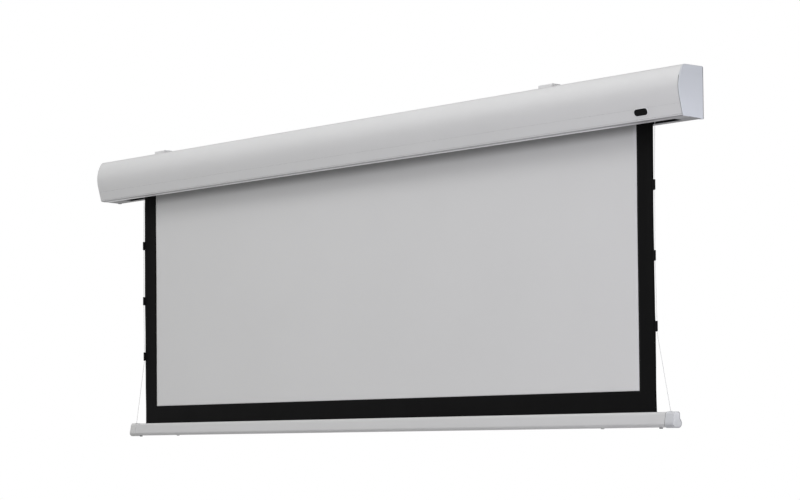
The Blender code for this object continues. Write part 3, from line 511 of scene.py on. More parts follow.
def turned_mesh(name, profile, at, axis="X", seg=48, wave=None, closed=False):
    """Rings of (along, radius) points about an axis through `at`. wave(angle, k) may
    change the radius of ring k."""
    rings = []
    for k, (a, r) in enumerate(profile):
        ring = []
        for i in range(seg):
            t = 2 * pi * i / seg
            rr = r if wave is None else wave(t, k, r)
            if axis == "X":
                ring.append((a, at[1] + rr * cos(t), at[2] + rr * sin(t)))
            else:
                ring.append((at[0] + rr * cos(t), at[1] + rr * sin(t), a))
        rings.append(ring)
    return rings_mesh(name, rings, cap=not closed, close=closed)


def boolean(ob, cutters, op="DIFFERENCE"):
    """Cut pieces out of a mesh and keep the result as its mesh. Cutters are removed."""
    mods = []
    for c in cutters:
        m = ob.modifiers.new(c.name, "BOOLEAN")
        m.operation = op
        m.solver = "EXACT"
        m.object = c
        mods.append(m)
    order = [m for m in ob.modifiers]
    keep = [(m.type, m.width, m.segments) for m in order if m.type == "BEVEL"]
    for m in order:
        if m.type == "BEVEL":
            ob.modifiers.remove(m)
    dg = bpy.context.evaluated_depsgraph_get()
    me = bpy.data.meshes.new_from_object(ob.evaluated_get(dg))
    for m in list(ob.modifiers):
        ob.modifiers.remove(m)
    ob.data = me
    for c in cutters:
        bpy.data.objects.remove(c, do_unlink=True)
    for kind, w, s in keep:
        b = ob.modifiers.new("edges", "BEVEL")
        b.width, b.segments = w, s
        b.limit_method = "ANGLE"
        b.angle_limit = radians(40)
        b.harden_normals = True
    return ob


def cutter(me, name):
    ob = bpy.data.objects.new(name, me)
    SC.collection.objects.link(ob)
    return ob


def cyl_mesh(name, at, r, depth, axis="Z", seg=32):
    bm = bmesh.new()
    bmesh.ops.create_cone(bm, cap_ends=True, segments=seg, radius1=r, radius2=r, depth=depth)
    if axis == "Y":
        bmesh.ops.rotate(bm, cent=(0, 0, 0), matrix=Matrix.Rotation(pi / 2, 3, "X"), verts=bm.verts)
    if axis == "X":
        bmesh.ops.rotate(bm, cent=(0, 0, 0), matrix=Matrix.Rotation(pi / 2, 3, "Y"), verts=bm.verts)
    bmesh.ops.translate(bm, vec=at, verts=bm.verts)
    return to_mesh(bm, name)


def box_mesh(name, x, y, z):
    bm = bmesh.new()
    bmesh.ops.create_cube(bm, size=1.0)
    for v in bm.verts:
        v.co = Vector((x[0] if v.co.x < 0 else x[1], y[0] if v.co.y < 0 else y[1],
                       z[0] if v.co.z < 0 else z[1]))
    return to_mesh(bm, name)


def join_meshes(name, meshes):
    """Several closed meshes as one."""
    bm = bmesh.new()
    for me in meshes:
        bm.from_mesh(me)
        bpy.data.meshes.remove(me)
    out = bpy.data.meshes.new(name)
    bm.to_mesh(out)
    bm.free()
    return out


# ------------------------------------------------------------------ camera
def camera():
    """The photograph's view: yaw, pitch and roll about the wall's axes."""
    yaw, pitch, roll = -0.86256, -0.04788, -0.00897
    t = Vector((-0.04053, 0.09321, 3.22028)) * 2.214
    rz = Matrix(((cos(yaw), -sin(yaw), 0), (sin(yaw), cos(yaw), 0), (0, 0, 1)))
    rx = Matrix(((1, 0, 0), (0, cos(pitch), -sin(pitch)), (0, sin(pitch), cos(pitch))))
    rr = Matrix(((cos(roll), -sin(roll), 0), (sin(roll), cos(roll), 0), (0, 0, 1)))
    b = Matrix(((1, 0, 0), (0, 0, -1), (0, 1, 0)))
    r = rr @ rx @ b @ rz
    place = -(r.transposed() @ t) + Vector((0.020, -0.0285, -0.763))
    cam = bpy.data.cameras.new("camera")
    cam.sensor_fit = "HORIZONTAL"
    cam.sensor_width = 36.0
    cam.lens = 2395.54 * 36.0 / 800.0
    cam.shift_y = (330.0 - 250.0) / 800.0
    cam.clip_start, cam.clip_end = 0.05, 200.0
    ob = bpy.data.objects.new("camera", cam)
    m = Matrix((r[0], -Vector(r[1]), -Vector(r[2]))).transposed().to_4x4()
    m.translation = place
    ob.matrix_world = m
    SC.collection.objects.link(ob)
    SC.camera = ob


camera()

# ------------------------------------------------------------------ case outline, fine
LOW_CORNER = (-79.3, -58.5)


def front_outline(n=30):
    pts = [LOW_CORNER]
    a, b = LOW_CORNER, (-84.5, -38.5)
    pts += [(a[0] + (b[0] - a[0]) * i / 8, a[1] + (b[1] - a[1]) * i / 8) for i in range(1, 9)]
    pts += bezier((-84.5, -38.5), (-90.0, -19.0), (-94.3, -3.0), (-94.3, 13.0), n)[1:]
    pts += bezier((-94.3, 13.0), (-94.3, 28.0), (-90.0, 46.0), (-80.5, 61.5), n)[1:]
    pts += bezier((-80.5, 61.5), (-77.0, 67.2), (-73.5, TOP_Z), (-68.0, TOP_Z), 14)[1:]
    return pts


FRONT = front_outline()


def front_at(z, pts=None):
    pts = pts or FRONT
    for a, b in zip(pts, pts[1:]):
        if a[1] <= z <= b[1]:
            k = (z - a[1]) / (b[1] - a[1])
            return (a[0] + k * (b[0] - a[0]), z)
    raise ValueError(z)


def underside(y):
    return BOT_FRONT_Z + (y + 75.6) / 75.6 * (BOT_REAR_Z - BOT_FRONT_Z)


BACK_TOP = [(-4.5 + 4.5 * sin(radians(7.5 * i)), TOP_Z - 4.5 + 4.5 * cos(radians(7.5 * i)))
            for i in range(13)]


def case_section():
    pts = list(FRONT) + BACK_TOP + [(0.0, BOT_REAR_Z), (-74.4, underside(-74.4))]
    return pts + bezier((-74.4, underside(-74.4)), (-78.0, -62.9), (-78.6, -61.2), LOW_CORNER,
                        12)[1:-1]


def within(y, z, loop):
    hit = False
    for a, b in zip(loop, loop[1:] + loop[:1]):
        if (a[1] > z) != (b[1] > z) and y < a[0] + (z - a[1]) / (b[1] - a[1]) * (b[0] - a[0]):
            hit = not hit
    return hit


def line_inside(ob):
    """Faces that look into the case get the shaded inside coat; the open rail doesn't."""
    ob.data.materials.append(INSIDE)
    ob.data.materials.append(UNDER_SHADE)
    loop = case_section()
    for f in ob.data.polygons:
        y, z = f.center.y / MM + 0.7 * f.normal.y, f.center.z / MM + 0.7 * f.normal.z
        # down-facing faces along the front and back edges take the dark underside coat: painted shade
        if f.normal.z < -0.62 and z < -60.0 and (y < -67.0 or y > -22.0) \
                and abs(f.normal.x) < 0.6:
            f.material_index = 2
        if abs(f.normal.x) > 0.6 or not within(y, z, loop):
            continue
        if abs(y - RAIL_Y) < 7.6 and z > TOP_Z - 8.3:
            continue
        f.material_index = 1


def build_case():
    upper = [front_at(CREASE_Z + 0.05)] + [p for p in FRONT if p[1] > CREASE_Z + 0.8]
    r0, r1, c0, c1 = RAIL_Y - 3.5, RAIL_Y + 3.5, RAIL_Y - 7.5, RAIL_Y + 7.5
    outer = list(upper)
    outer += [(r0, TOP_Z), (r0, TOP_Z - WALL), (c0, TOP_Z - WALL), (c0, TOP_Z - 8.2),
              (c1, TOP_Z - 8.2), (c1, TOP_Z - WALL), (r1, TOP_Z - WALL), (r1, TOP_Z)]
    outer += BACK_TOP
    outer += [(0.0, BOT_REAR_Z), (SLOT_REAR_Y, underside(SLOT_REAR_Y))]
    inner = [(SLOT_REAR_Y, underside(SLOT_REAR_Y) + 5.0),
             (SLOT_REAR_Y + 1.8, underside(SLOT_REAR_Y) + 5.0),
             (SLOT_REAR_Y + 1.8, underside(SLOT_REAR_Y) + WALL),
             (-WALL, BOT_REAR_Z + WALL), (-WALL, TOP_Z - WALL),
             (c1 + 2.0, TOP_Z - WALL), (c1 + 2.0, TOP_Z - 10.2),
             (c0 - 2.0, TOP_Z - 10.2), (c0 - 2.0, TOP_Z - WALL)]
    inside = offset_open(upper, -WALL)
    inside[-1] = (inside[-1][0], TOP_Z - WALL)
    inner += list(reversed(inside))
    loop = soften(outer + inner, 0.22, 3, 45)
    shell = piece("case_upper_shell", prism_mesh("case_upper_shell", [loop], -SHELL_END, SHELL_END),
                  WHITE, "housing", "case_shell", angle=24)
    boolean(shell, [cutter(cyl_mesh("cable_hole", (-1300.0, -42.0, TOP_Z), 6.4, 12.0), "cable_hole")])
    line_inside(shell)

    cover = [front_at(-58.1)] + [p for p in FRONT if -57.4 < p[1] < CREASE_Z - 0.8]
    cover += [front_at(CREASE_Z - 0.05)]
    back = offset_open(cover, -WALL)
    loop = cover + list(reversed(back))
    cover_ob = piece("case_front_cover",
                     prism_mesh("case_front_cover", [soften(loop, 0.22, 3, 45)],
                                -SHELL_END, SHELL_END),
                     WHITE, "housing", "front_cover", angle=24)
    line_inside(cover_ob)

    nose = [(-79.32, -58.34)] + bezier((-79.20, -58.9), (-78.6, -61.2), (-78.0, -62.9),
                                       (-74.4, underside(-74.4)), 14)
    # low bead along the slot's edge
    nose += [(-66.8, underside(-66.8)), (-57.2, underside(-57.2)),
             (-56.4, underside(-56.4) - 0.3), (-55.6, underside(-55.6) - 0.6),
             (-54.2, underside(-54.2) - 0.6), (SLOT_FRONT_Y, underside(SLOT_FRONT_Y) - 0.3),
             (SLOT_FRONT_Y, underside(SLOT_FRONT_Y) + 7.0),
             (SLOT_FRONT_Y - 1.8, underside(SLOT_FRONT_Y) + 7.0),
             (SLOT_FRONT_Y - 1.8, underside(SLOT_FRONT_Y) + WALL),
             (-73.0, underside(-73.0) + WALL), (-76.0, -60.3), (-77.2, -58.34)]
    lip = piece("case_slot_lip", prism_mesh("case_slot_lip", [soften(nose, 0.5, 3, 40)],
                                            -SHELL_END, SHELL_END),
                LIP, "housing", "slot_lip", angle=24)
    line_inside(lip)
    # the curved underside takes a darker painted shade and the narrow strip beside the slot a brighter
    # painted highlight, both dimmer towards the right end
    lip.data.materials.append(LIPUNDER_SHADE)
    lip.data.materials.append(LIPEDGE_LIT)
    for f in lip.data.polygons:
        if f.material_index == 2:
            f.material_index = 3
        elif f.material_index == 0 and f.normal.z < -0.3 and f.center.y > -0.067:
            f.material_index = 4

    # closed ends of the underside, each with a pressed stiffening bead along it
    for side, tag in ((-1, "left"), (1, "right")):
        y0, y1 = SLOT_FRONT_Y + GAP, SLOT_REAR_Y - GAP
        xs = sorted((SCREEN_X + side * SLOT_HALF, side * (SHELL_END - 3.6)))
        ys = [y0 + (y1 - y0) * i / 28 for i in range(29)]

        def bead(y, x):
            u = abs(y - (y0 + y1) / 2) / 7.0
            w = min(1.0, max(0.0, (min(x - xs[0], xs[1] - x) - 6.0) / 5.0))
            return 0.8 * w * (cos(min(u, 1.0) * pi) * 0.5 + 0.5)

        rows = []
        for x in [xs[0] + (xs[1] - xs[0]) * i / 24 for i in range(25)]:
            low = [(x, y, underside(y) + bead(y, x)) for y in ys]
            high = [(x, y, underside(y) + WALL + bead(y, x)) for y in reversed(ys)]
            rows.append(low + high)
        # the closures take the dark underside coat: painted shade
        piece("bottom_closure_" + tag, rings_mesh("bottom_closure_" + tag, rows), UNDER_SHADE, "housing",
              "bottom_plate_" + tag, bevel=0.35, limit=60)

    # moulded end caps, edges rounded outside
    full = list(FRONT) + BACK_TOP + [(0.0, FOOT_Z), (-8.6, FOOT_Z), (-11.5, underside(-11.5) - 0.3),
                                     (-74.4, underside(-74.4))]
    full += bezier((-74.4, underside(-74.4)), (-78.0, -62.9), (-78.6, -61.2), LOW_CORNER, 12)[1:-1]
    full = soften(full, 1.8, 6, 45)

    def squeeze(p, q, d):
        # the rounding runs further in along the back edge than elsewhere
        w = min(1.0, max(0.0, (p[0] + 5.0) / 4.0))
        return (q[0] - 1.0 * d * w, q[1])

    for side, tag in ((-1, "left"), (1, "right")):
        x0, x1 = side * (CASE_HALF - CAP_T), side * CASE_HALF
        r = 1.6
        # a narrow groove against the shell, over the lower two thirds of the outline
        def sunk(d):
            q = inset_closed(full, d)
            out = []
            for a, b in zip(full, q):
                w = min(1.0, max(0.0, (42.0 - a[1]) / 18.0))
                out.append((a[0] + (b[0] - a[0]) * w, a[1] + (b[1] - a[1]) * w))
            return out

        w = 1.45 if side > 0 else 0.5
        rows = [[(x0, *p) for p in sunk(1.5)], [(x0 + side * w, *p) for p in sunk(1.5)],
                [(x0 + side * (w + 0.2), *p) for p in sunk(0.25)],
                [(x0 + side * (w + 0.4), *p) for p in full]]
        for k in range(9):
            a = pi / 2 * k / 8
            d = r * (1 - cos(a))
            rows.append([(x1 - side * r * (1 - sin(a)), *squeeze(p, q, d))
                         for p, q in zip(full, inset_closed(full, 0.0001 + d))])
        rows.append([(x1, *squeeze(p, q, r)) for p, q in zip(full, inset_closed(full, r + 0.2))])
        # the right cap and its foot take the bluish copy, lighter towards the bottom: painted light
        cap = piece("end_cover_" + tag, rings_mesh("end_cover_" + tag, rows),
                    CAPW_LIT if side > 0 else CAPWL, "housing",
                    "end_cap_" + tag, angle=50)
        # the groove and the hidden inner face are in shade; the rounded back edge gets a near-black painted
        # shade
        cap.data.materials.append(INSIDE)
        cap.data.materials.append(CAPRIM_SHADE)
        for f in cap.data.polygons:
            if abs(f.center.x) < (CASE_HALF - CAP_T + w + 0.05) * MM and f.center.z < 0.040:
                f.material_index = 1
            elif f.center.y > -3.1 * MM and abs(f.normal.x) > 0.15 \
                    and abs(f.center.x) > (CASE_HALF - 1.7) * MM:
                f.material_index = 2
        # foot under the shell's rear flange, with the well of its screw
        foot = rings_mesh("f", [[(side * a, b, c) for b, c in inset_closed(
            [(-8.2, FOOT_Z + 0.1), (-0.5, FOOT_Z + 0.1), (-0.5, -65.45), (-8.2, -65.45)], d)]
            for a, d in ((CASE_HALF - 11.0, 0.5), (CASE_HALF - 10.5, 0.1), (CASE_HALF - 9.0, 0.0),
                         (CASE_HALF - CAP_T - 0.1, 0.0))])
        foot_ob = cutter(foot, "foot")
        foot.materials.append(CAPW_LIT if side > 0 else CAPWL)
        boolean(foot_ob, [cutter(cyl_mesh("c", (side * (CASE_HALF - 7.4), -4.4, FOOT_Z), 2.2, 2.0),
                                 "foot_well")])
        bm = bmesh.new()
        bm.from_mesh(cap.data)
        bm.from_mesh(foot_ob.data)
        bm.to_mesh(cap.data)
        bm.free()
        bpy.data.objects.remove(foot_ob, do_unlink=True)
        cap.data.shade_smooth()
        cap.data.set_sharp_from_angle(angle=radians(50))


def phillips(name, at, r, depth, out, axis, mat, body, replaces=()):
    """A crosshead screw head. out is +1 or -1: which way along the axis it looks."""
    a = at[{"X": 0, "Y": 1, "Z": 2}[axis]]
    prof = [(a - out * depth, r * 0.55), (a - out * depth * 0.5, r * 0.95), (a - out * 0.5, r),
            (a - out * 0.12, r * 0.93), (a, r * 0.75)]
    me = turned_mesh(name, prof, at, axis="Z" if axis == "Z" else "X", seg=40)
    ob = piece(name, me, mat, body, replaces)
    w, l, d = r * 0.16, r * 0.62, min(depth * 0.6, r * 0.5)
    cs = []
    for k in (0, 1):
        p, q = (w, l) if k else (l, w)
        if axis == "Z":
            bx = box_mesh("slot", (at[0] - p, at[0] + p), (at[1] - q, at[1] + q),
                          sorted((a - out * d, a + out * 1.0)))
        else:
            bx = box_mesh("slot", sorted((a - out * d, a + out * 1.0)),
                          (at[1] - p, at[1] + p), (at[2] - q, at[2] + q))
        cs.append(cutter(bx, "%s_slot_%d" % (name, k)))
    boolean(ob, cs)
    ob.data.shade_smooth()
    ob.data.set_sharp_from_angle(angle=radians(30))
    return ob


def build_end_screws():
    for side, tag in ((-1, "left"), (1, "right")):
        phillips("end_cover_screw_" + tag, (side * (CASE_HALF - 7.4), -4.4, FOOT_Z + 0.3), 1.8,
                 1.1, -1, "Z", DARKSCREW, "housing", "end_screw_" + tag)


# ------------------------------------------------------------------ badge
def build_badge():
    slope = Vector((-84.5 + 79.3, -38.5 + 58.5)).normalized()
    nrm = Vector((-slope.y, slope.x))
    base = front_at(BADGE_Z)

    def at(u, v, w):
        return (BADGE_X + u, base[0] + v * slope.x + w * nrm.x, base[1] + v * slope.y + w * nrm.y)

    hw, hr, n = BADGE_W / 2 - BADGE_H / 2, BADGE_H / 2, 24

    def pill(grow):
        r = max(hr + grow, 0.05)
        pts = [(hw + r * cos(-pi / 2 + pi * i / n), r * sin(-pi / 2 + pi * i / n))
               for i in range(n + 1)]
        pts += [(-hw + r * cos(pi / 2 + pi * i / n), r * sin(pi / 2 + pi * i / n))
                for i in range(n + 1)]
        return pts

    rim = [(0.10, 0.35), (1.35, 0.35), (1.5, 0.9), (1.25, 1.45), (0.75, 1.7), (0.3, 1.6),
           (0.10, 1.2)]
    piece("badge_rim", rings_mesh("badge_rim", [[at(u, v, w) for u, v in pill(g)] for g, w in rim],
                                  close=True), RIM, "housing", angle=60)
    face = [(-0.05, 0.55), (-0.05, 1.35), (-0.35, 1.62), (-0.9, 1.72), (-2.2, 1.66), (-4.0, 1.62),
            (-7.6, 1.62), (-8.9, 1.62)]
    piece("badge_face", rings_mesh("badge_face", [[at(u, v, w) for u, v in pill(g)]
                                                  for g, w in face]),
          GLOSS, "housing", "badge", angle=50)


# ------------------------------------------------------------------ brackets
def build_brackets():
    for bx, tag in zip(BRACKET_X, ("left", "right")):
        body = "bracket_slider_" + tag
        t, z0, z1 = 2.5, TOP_Z + GAP, BRACKET_TOP_Z
        y0, y1 = BRACKET_FRONT_Y, 0.0
        outer = [(y0 + t, z0), (y1, z0), (y1, z1), (y0, z1), (y0, z0 + 4.5), (y0 + t, z0 + 4.5),
                 (y0 + t, z1 - t), (y1 - t, z1 - t), (y1 - t, z0 + t), (y0 + t, z0 + t)]
        # outer bends 2.6 mm, inner bends 0.5 mm, cut ends nearly square
        loop = []
        big = {1: 2.6, 2: 2.6, 3: 2.6}
        for i, p in enumerate(outer):
            q = [outer[i - 1], p, outer[(i + 1) % len(outer)]]
            loop += soften(q, big.get(i, 0.45), 6 if i in big else 3, 30, closed=False)[1:-1]
        me = prism_mesh("mount_bracket_" + tag, [loop], bx - BRACKET_W / 2, bx + BRACKET_W / 2)
        br = piece("mount_bracket_" + tag, me, BRACKET, body, "bracket_" + tag,
                   angle=28, bevel=0.35)
        cs = []
        for k in (-1, 1):
            cs.append(cutter(cyl_mesh("c", (bx + k * 17.0, RAIL_Y, z1), 3.3, 12.0), "ceiling_hole"))
            cs.append(cutter(cyl_mesh("c", (bx + k * 17.0, y1, (z0 + z1) / 2 + 0.6), 3.0, 12.0, "Y"),
                             "wall_hole"))
        cs.append(cutter(cyl_mesh("c", (bx, RAIL_Y, z0 + 1.0), 3.3, 6.0), "bolt_hole"))
        boolean(br, cs)
        br.data.shade_smooth()
        br.data.set_sharp_from_angle(angle=radians(28))
        # inner faces of the channel take the glowing coat: painted light
        br.data.materials.append(CHANNEL_GLOW)
        for f in br.data.polygons:
            y, z = f.center.y / MM + 0.4 * f.normal.y, f.center.z / MM + 0.4 * f.normal.z
            if abs(f.normal.x) < 0.5 and y0 + t < y < y1 - t and z0 + t < z < z1 - t:
                f.material_index = 1

        # socket head clamp bolt
        zt = z0 + t + 4.6
        hexr = lambda a: 2.1 / cos(((a + pi / 6) % (pi / 3)) - pi / 6)
        prof = [(TOP_Z - 6.6, 2.1), (TOP_Z - 6.2, 2.6), (z0 + t + GAP, 2.6), (z0 + t + GAP, 4.8),
                (z0 + t + 0.6, 5.0), (zt - 0.7, 5.0), (zt - 0.2, 4.8), (zt, 4.3), (zt, 2.5),
                (zt - 0.3, 2.15), (zt - 2.6, 2.15)]
        hexk = len(prof) - 2
        me = turned_mesh("bracket_bolt_" + tag, prof, (bx, RAIL_Y, 0), "Z", 48,
                         wave=lambda a, k, r: hexr(a) if k >= hexk else
                         (r - (0.10 if (int(a * 48 / (2 * pi) + 0.5) % 2 and 4 <= k <= 5) else 0)))
        piece("bracket_bolt_" + tag, me, STEEL, body, "clamp_bolt_" + tag, angle=30)

        nut = [(bx - 9, RAIL_Y - 7.0), (bx + 9, RAIL_Y - 7.0), (bx + 9, RAIL_Y + 7.0),
               (bx - 9, RAIL_Y + 7.0)]
        nut = soften(nut, 1.5, 5)
        hole = [(bx + 2.95 * cos(2 * pi * i / 36), RAIL_Y + 2.95 * sin(2 * pi * i / 36))
                for i in range(36)]
        piece("sliding_nut_" + tag, prism_mesh("sliding_nut_" + tag, [nut, hole], TOP_Z - 7.2,
                                               TOP_Z - WALL - GAP, "Z"),
              STEEL, body, "rail_nut_" + tag, angle=30)


# ------------------------------------------------------------------ fabric
def edge_pull(z):
    """How far the fabric's side edge draws in between its tabs, in mm."""
    stops = [60.0] + list(TAB_Z) + [HEM_Z]
    for a, b in zip(stops, stops[1:]):
        if b <= z <= a:
            t = (a - z) / (a - b)
            deep = 1.4 if b == HEM_Z or a == 60.0 else 1.0
            return deep * (4 * t * (1 - t)) ** 0.8
    return 0.0


# the stretched edges aren't straight: (z, how far the edge stands out there), in mm
EDGE_LEFT = ((-770, -0.5), (-700, 0.8), (-620, -0.1), (-520, 0.0), (-430, 1.1), (-360, 1.6),
             (-250, 1.1), (-195, 0.6), (-96, 3.4), (-30, 1.5))
EDGE_RIGHT = ((-760, -1.3), (-690, -0.1), (-616, -0.4), (-560, -1.4), (-520, -1.1),
              (-440, -2.0), (-243, -1.8), (-190, -0.2))
# each tab sits where its own edge holds it: rows 1 to 3, outwards in mm
TAB_SHIFT = {-1: (-0.8, -0.4, -2.3), 1: (-0.5, -2.2, 1.1)}


def edge_out(z, side):
    zs, outs = zip(*(EDGE_LEFT if side < 0 else EDGE_RIGHT))
    return (LEFT_OUT if side < 0 else 1.1) + float(np.interp(z, zs, outs))


def curl(u, z):
    """How far the masking's outer edge curls to the front, in mm, at u mm from the
    middle of the screen: most at the top, nothing at the hem."""
    t = min(1.0, max(0.0, (u - (FAB_HALF - 26.0)) / 26.0))
    lift = 2.0 * (1.0 - exp(-(z - HEM_Z) / 190.0)) * min(1.0, max(0.0, (-80.0 - z) / 120.0))
    return lift * t * t * (3 - 2 * t)


def ripple(x, z):
    """Faint unevenness of the hanging sheet, in mm."""
    return (0.18 * sin(x / 310.0 + 1.3) * sin(z / 210.0 + 0.4)
            + 0.10 * sin(x / 127.0 + z / 340.0) + 0.05 * sin(z / 61.0 + x / 900.0))


def sheet_object(name, grids, y, thick, mats, replaces, offset):
    """Grids are lists of rows of (x, z); they share the points where they meet."""
    bm = bmesh.new()
    seen = {}

    def vert(x, z):
        key = (round(x, 3), round(z, 3))
        if key not in seen:
            seen[key] = bm.verts.new((x, y + ripple(x, z) * 0.5 - curl(abs(x - SCREEN_X), z), z))
        return seen[key]

    for rows in grids:
        for ra, rb in zip(rows, rows[1:]):
            for i in range(len(ra) - 1):
                q = [vert(*ra[i]), vert(*ra[i + 1]), vert(*rb[i + 1]), vert(*rb[i])]
                bm.faces.new(q)
    me = to_mesh(bm, name, recalc=False)
    # every face looks at the audience, -Y
    if sum(p.normal.y * p.area for p in me.polygons) > 0:
        me.flip_normals()
    ob = piece(name, me, mats, "housing", replaces)
    s = ob.modifiers.new("thickness", "SOLIDIFY")
    s.thickness = thick * MM
    s.offset = offset
    s.material_offset = 1 if len(mats) > 1 else 0
    s.material_offset_rim = 1 if len(mats) > 1 else 0
    return ob


def build_fabric():
    xl, xr = SCREEN_X - VIEW_W / 2, SCREEN_X + VIEW_W / 2
    fl, fr = SCREEN_X - FAB_HALF, SCREEN_X + FAB_HALF
    ztop = ROLLER_Z

    def zs(a, b, n):
        return [a + (b - a) * i / n for i in range(n + 1)]

    # viewing surface, running a little under the masking on three sides
    under = 8.0
    xcol = zs(xl - under, xr + under, 90)
    rows = [[(x, z) for x in xcol] for z in zs(ztop, VIEW_BOTTOM_Z - under, 60)]
    view = sheet_object("projection_sheet", [rows], FABRIC_Y, 0.25, [VIEW, BACKING],
                        "view_fabric", -1.0)
    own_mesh(view)

    # masking: two side strips and the foot strip with its hem
    zside = zs(ztop, VIEW_BOTTOM_Z, 96)
    zfoot = zs(VIEW_BOTTOM_Z, HEM_Z + 1.0, 10)

    def side_row(z, side):
        edge = FAB_HALF - edge_pull(z) + edge_out(z, side)
        # the inner edge draws in a little below the first tab
        t = min(1.0, max(0.0, (-130.0 - z) / 200.0))
        edge0 = VIEW_W / 2 - 1.4 * t * t * (3 - 2 * t)
        cols = [edge0 + (edge - edge0) * k / 8 for k in range(9)]
        row = [(SCREEN_X + side * c, z) for c in cols]
        return row if side > 0 else row[::-1]

    grids = [[side_row(z, s) for z in zside] for s in (-1, 1)]
    mid = [SCREEN_X - VIEW_W / 2 + VIEW_W * i / 80 for i in range(81)]
    foot = []
    for z in zfoot:
        left, right = side_row(z, -1), side_row(z, 1)
        foot.append(left + [(x, z) for x in mid[1:-1]] + right)
    grids.append(foot)
    mask = sheet_object("masking_border", grids, FABRIC_Y - 0.28, 0.25, [MASK, BACKING],
                        "black_border", -1.0)
    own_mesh(mask)


# ------------------------------------------------------------------ tabs
def build_tabs():
    h, f, t = TAB_H / 2, FAB_HALF, FAB_HALF + TAB_OUT
    fy, my, ry = FABRIC_Y - 7.0, FABRIC_Y - 2.4, FABRIC_Y + 1.8
    for i, z in enumerate(TAB_Z):
        for side, tag in ((-1, "left"), (1, "right")):
            name = "tension_tab_%s_%d" % (tag, i + 1)

            def X(v):
                return SCREEN_X + side * (v + TAB_SHIFT[side][i])

            # section: head in front of the edge, bridge round it, plate behind it
            wall = f + max(2.0, edge_out(z, side) - TAB_SHIFT[side][i] + 0.3)
            sec = [(f + 0.4, fy), (t - 1.4, fy), (t, fy + 1.4), (t, FABRIC_Y - 4.4), (t - 1.6, my),
                   (wall, my), (wall, ry), (f - 15.0, ry), (f - 15.0, ry - 1.2),
                   (f + 0.4, ry - 1.2)]
            sec = soften(sec, 0.7, 3, 20)
            er = 1.3 if wall < f + 4.8 else 1.0
            eye = [(CORD_X + er * cos(2 * pi * q / 20), CORD_Y + er * sin(2 * pi * q / 20))
                   for q in range(20)]
            me = prism_mesh(name, [[(X(a), b) for a, b in sec], [(X(a), b) for a, b in eye]],
                            z - h, z + h, "Z")
            ob = piece(name, me, TABMAT, "tab_row_%d" % (i + 1),
                       "tab_%s_%d" % (tag, i + 1))
            # waisted outer side, rounded outer corners: cut with one outline from the front
            cut = [(t - 3.2, h + 1.0), (t - 3.0, h - 0.05), (t - 1.2, h - 0.5), (t - 0.3, h - 1.8),
                   (t + 0.02, h - 3.6), (t - 0.05, h - 7.0), (t - 0.85, h - 9.5),
                   (t - 1.0, 0.0), (t - 0.85, -h + 9.5), (t - 0.05, -h + 7.0),
                   (t + 0.02, -h + 4.2), (t - 0.5, -h + 2.4), (t - 1.7, -h + 0.9),
                   (t - 3.4, -h - 0.0), (t - 3.6, -h - 1.0), (t + 3.0, -h - 1.0), (t + 3.0, h + 1.0)]
            cut = [(X(a), z + b) for a, b in cut]
            cs = [cutter(prism_mesh("c", [cut], fy - 1.0, ry + 1.0, "Y", ngon=True), "waist")]
            # the plate behind the fabric has rounded corners
            for k in (-1, 1):
                q = [(f - 16.0, k * (h + 1.0)), (f - 16.0, k * (h - 3.0)), (f - 15.0, k * (h - 3.0))]
                q += [(f - 12.0 - 3.0 * cos(radians(w)), k * (h - 3.0 + 3.0 * sin(radians(w))))
                      for w in (15, 30, 45, 60, 75, 90)]
                q += [(f - 12.0, k * (h + 1.0))]
                cs.append(cutter(prism_mesh("c", [[(X(a), z + b) for a, b in q]],
                                            FABRIC_Y, ry + 1.0, "Y", ngon=True), "corner"))
            boolean(ob, cs)
            ob.data.shade_smooth()
            ob.data.set_sharp_from_angle(angle=radians(30))
            b = ob.modifiers.new("edges", "BEVEL")
            b.width, b.segments = 0.35 * MM, 2
            b.limit_method, b.angle_limit = "ANGLE", radians(45)
            b.harden_normals = True
            riv = []
            for k in (-1, 1):
                prof = [(ry, 3.0), (ry + 0.3, 2.9), (ry + 0.75, 2.3), (ry + 0.95, 1.2)]
                bm = bmesh.new()
                rings = [[bm.verts.new((X(f - 8.0) + r * cos(2 * pi * q / 24), yy,
                                        z + k * 7.5 + r * sin(2 * pi * q / 24))) for q in range(24)]
                         for yy, r in prof]
                for a, b in zip(rings, rings[1:]):
                    for q in range(24):
                        w = (q + 1) % 24
                        bm.faces.new((a[q], a[w], b[w], b[q]))
                bm.faces.new(rings[0])
                bm.faces.new(rings[-1])
                riv.append(to_mesh(bm, "r"))
            piece("tab_rivets_%s_%d" % (tag, i + 1),
                  join_meshes("tab_rivets_%s_%d" % (tag, i + 1), riv), DARKSCREW,
                  "tab_row_%d" % (i + 1), angle=40)


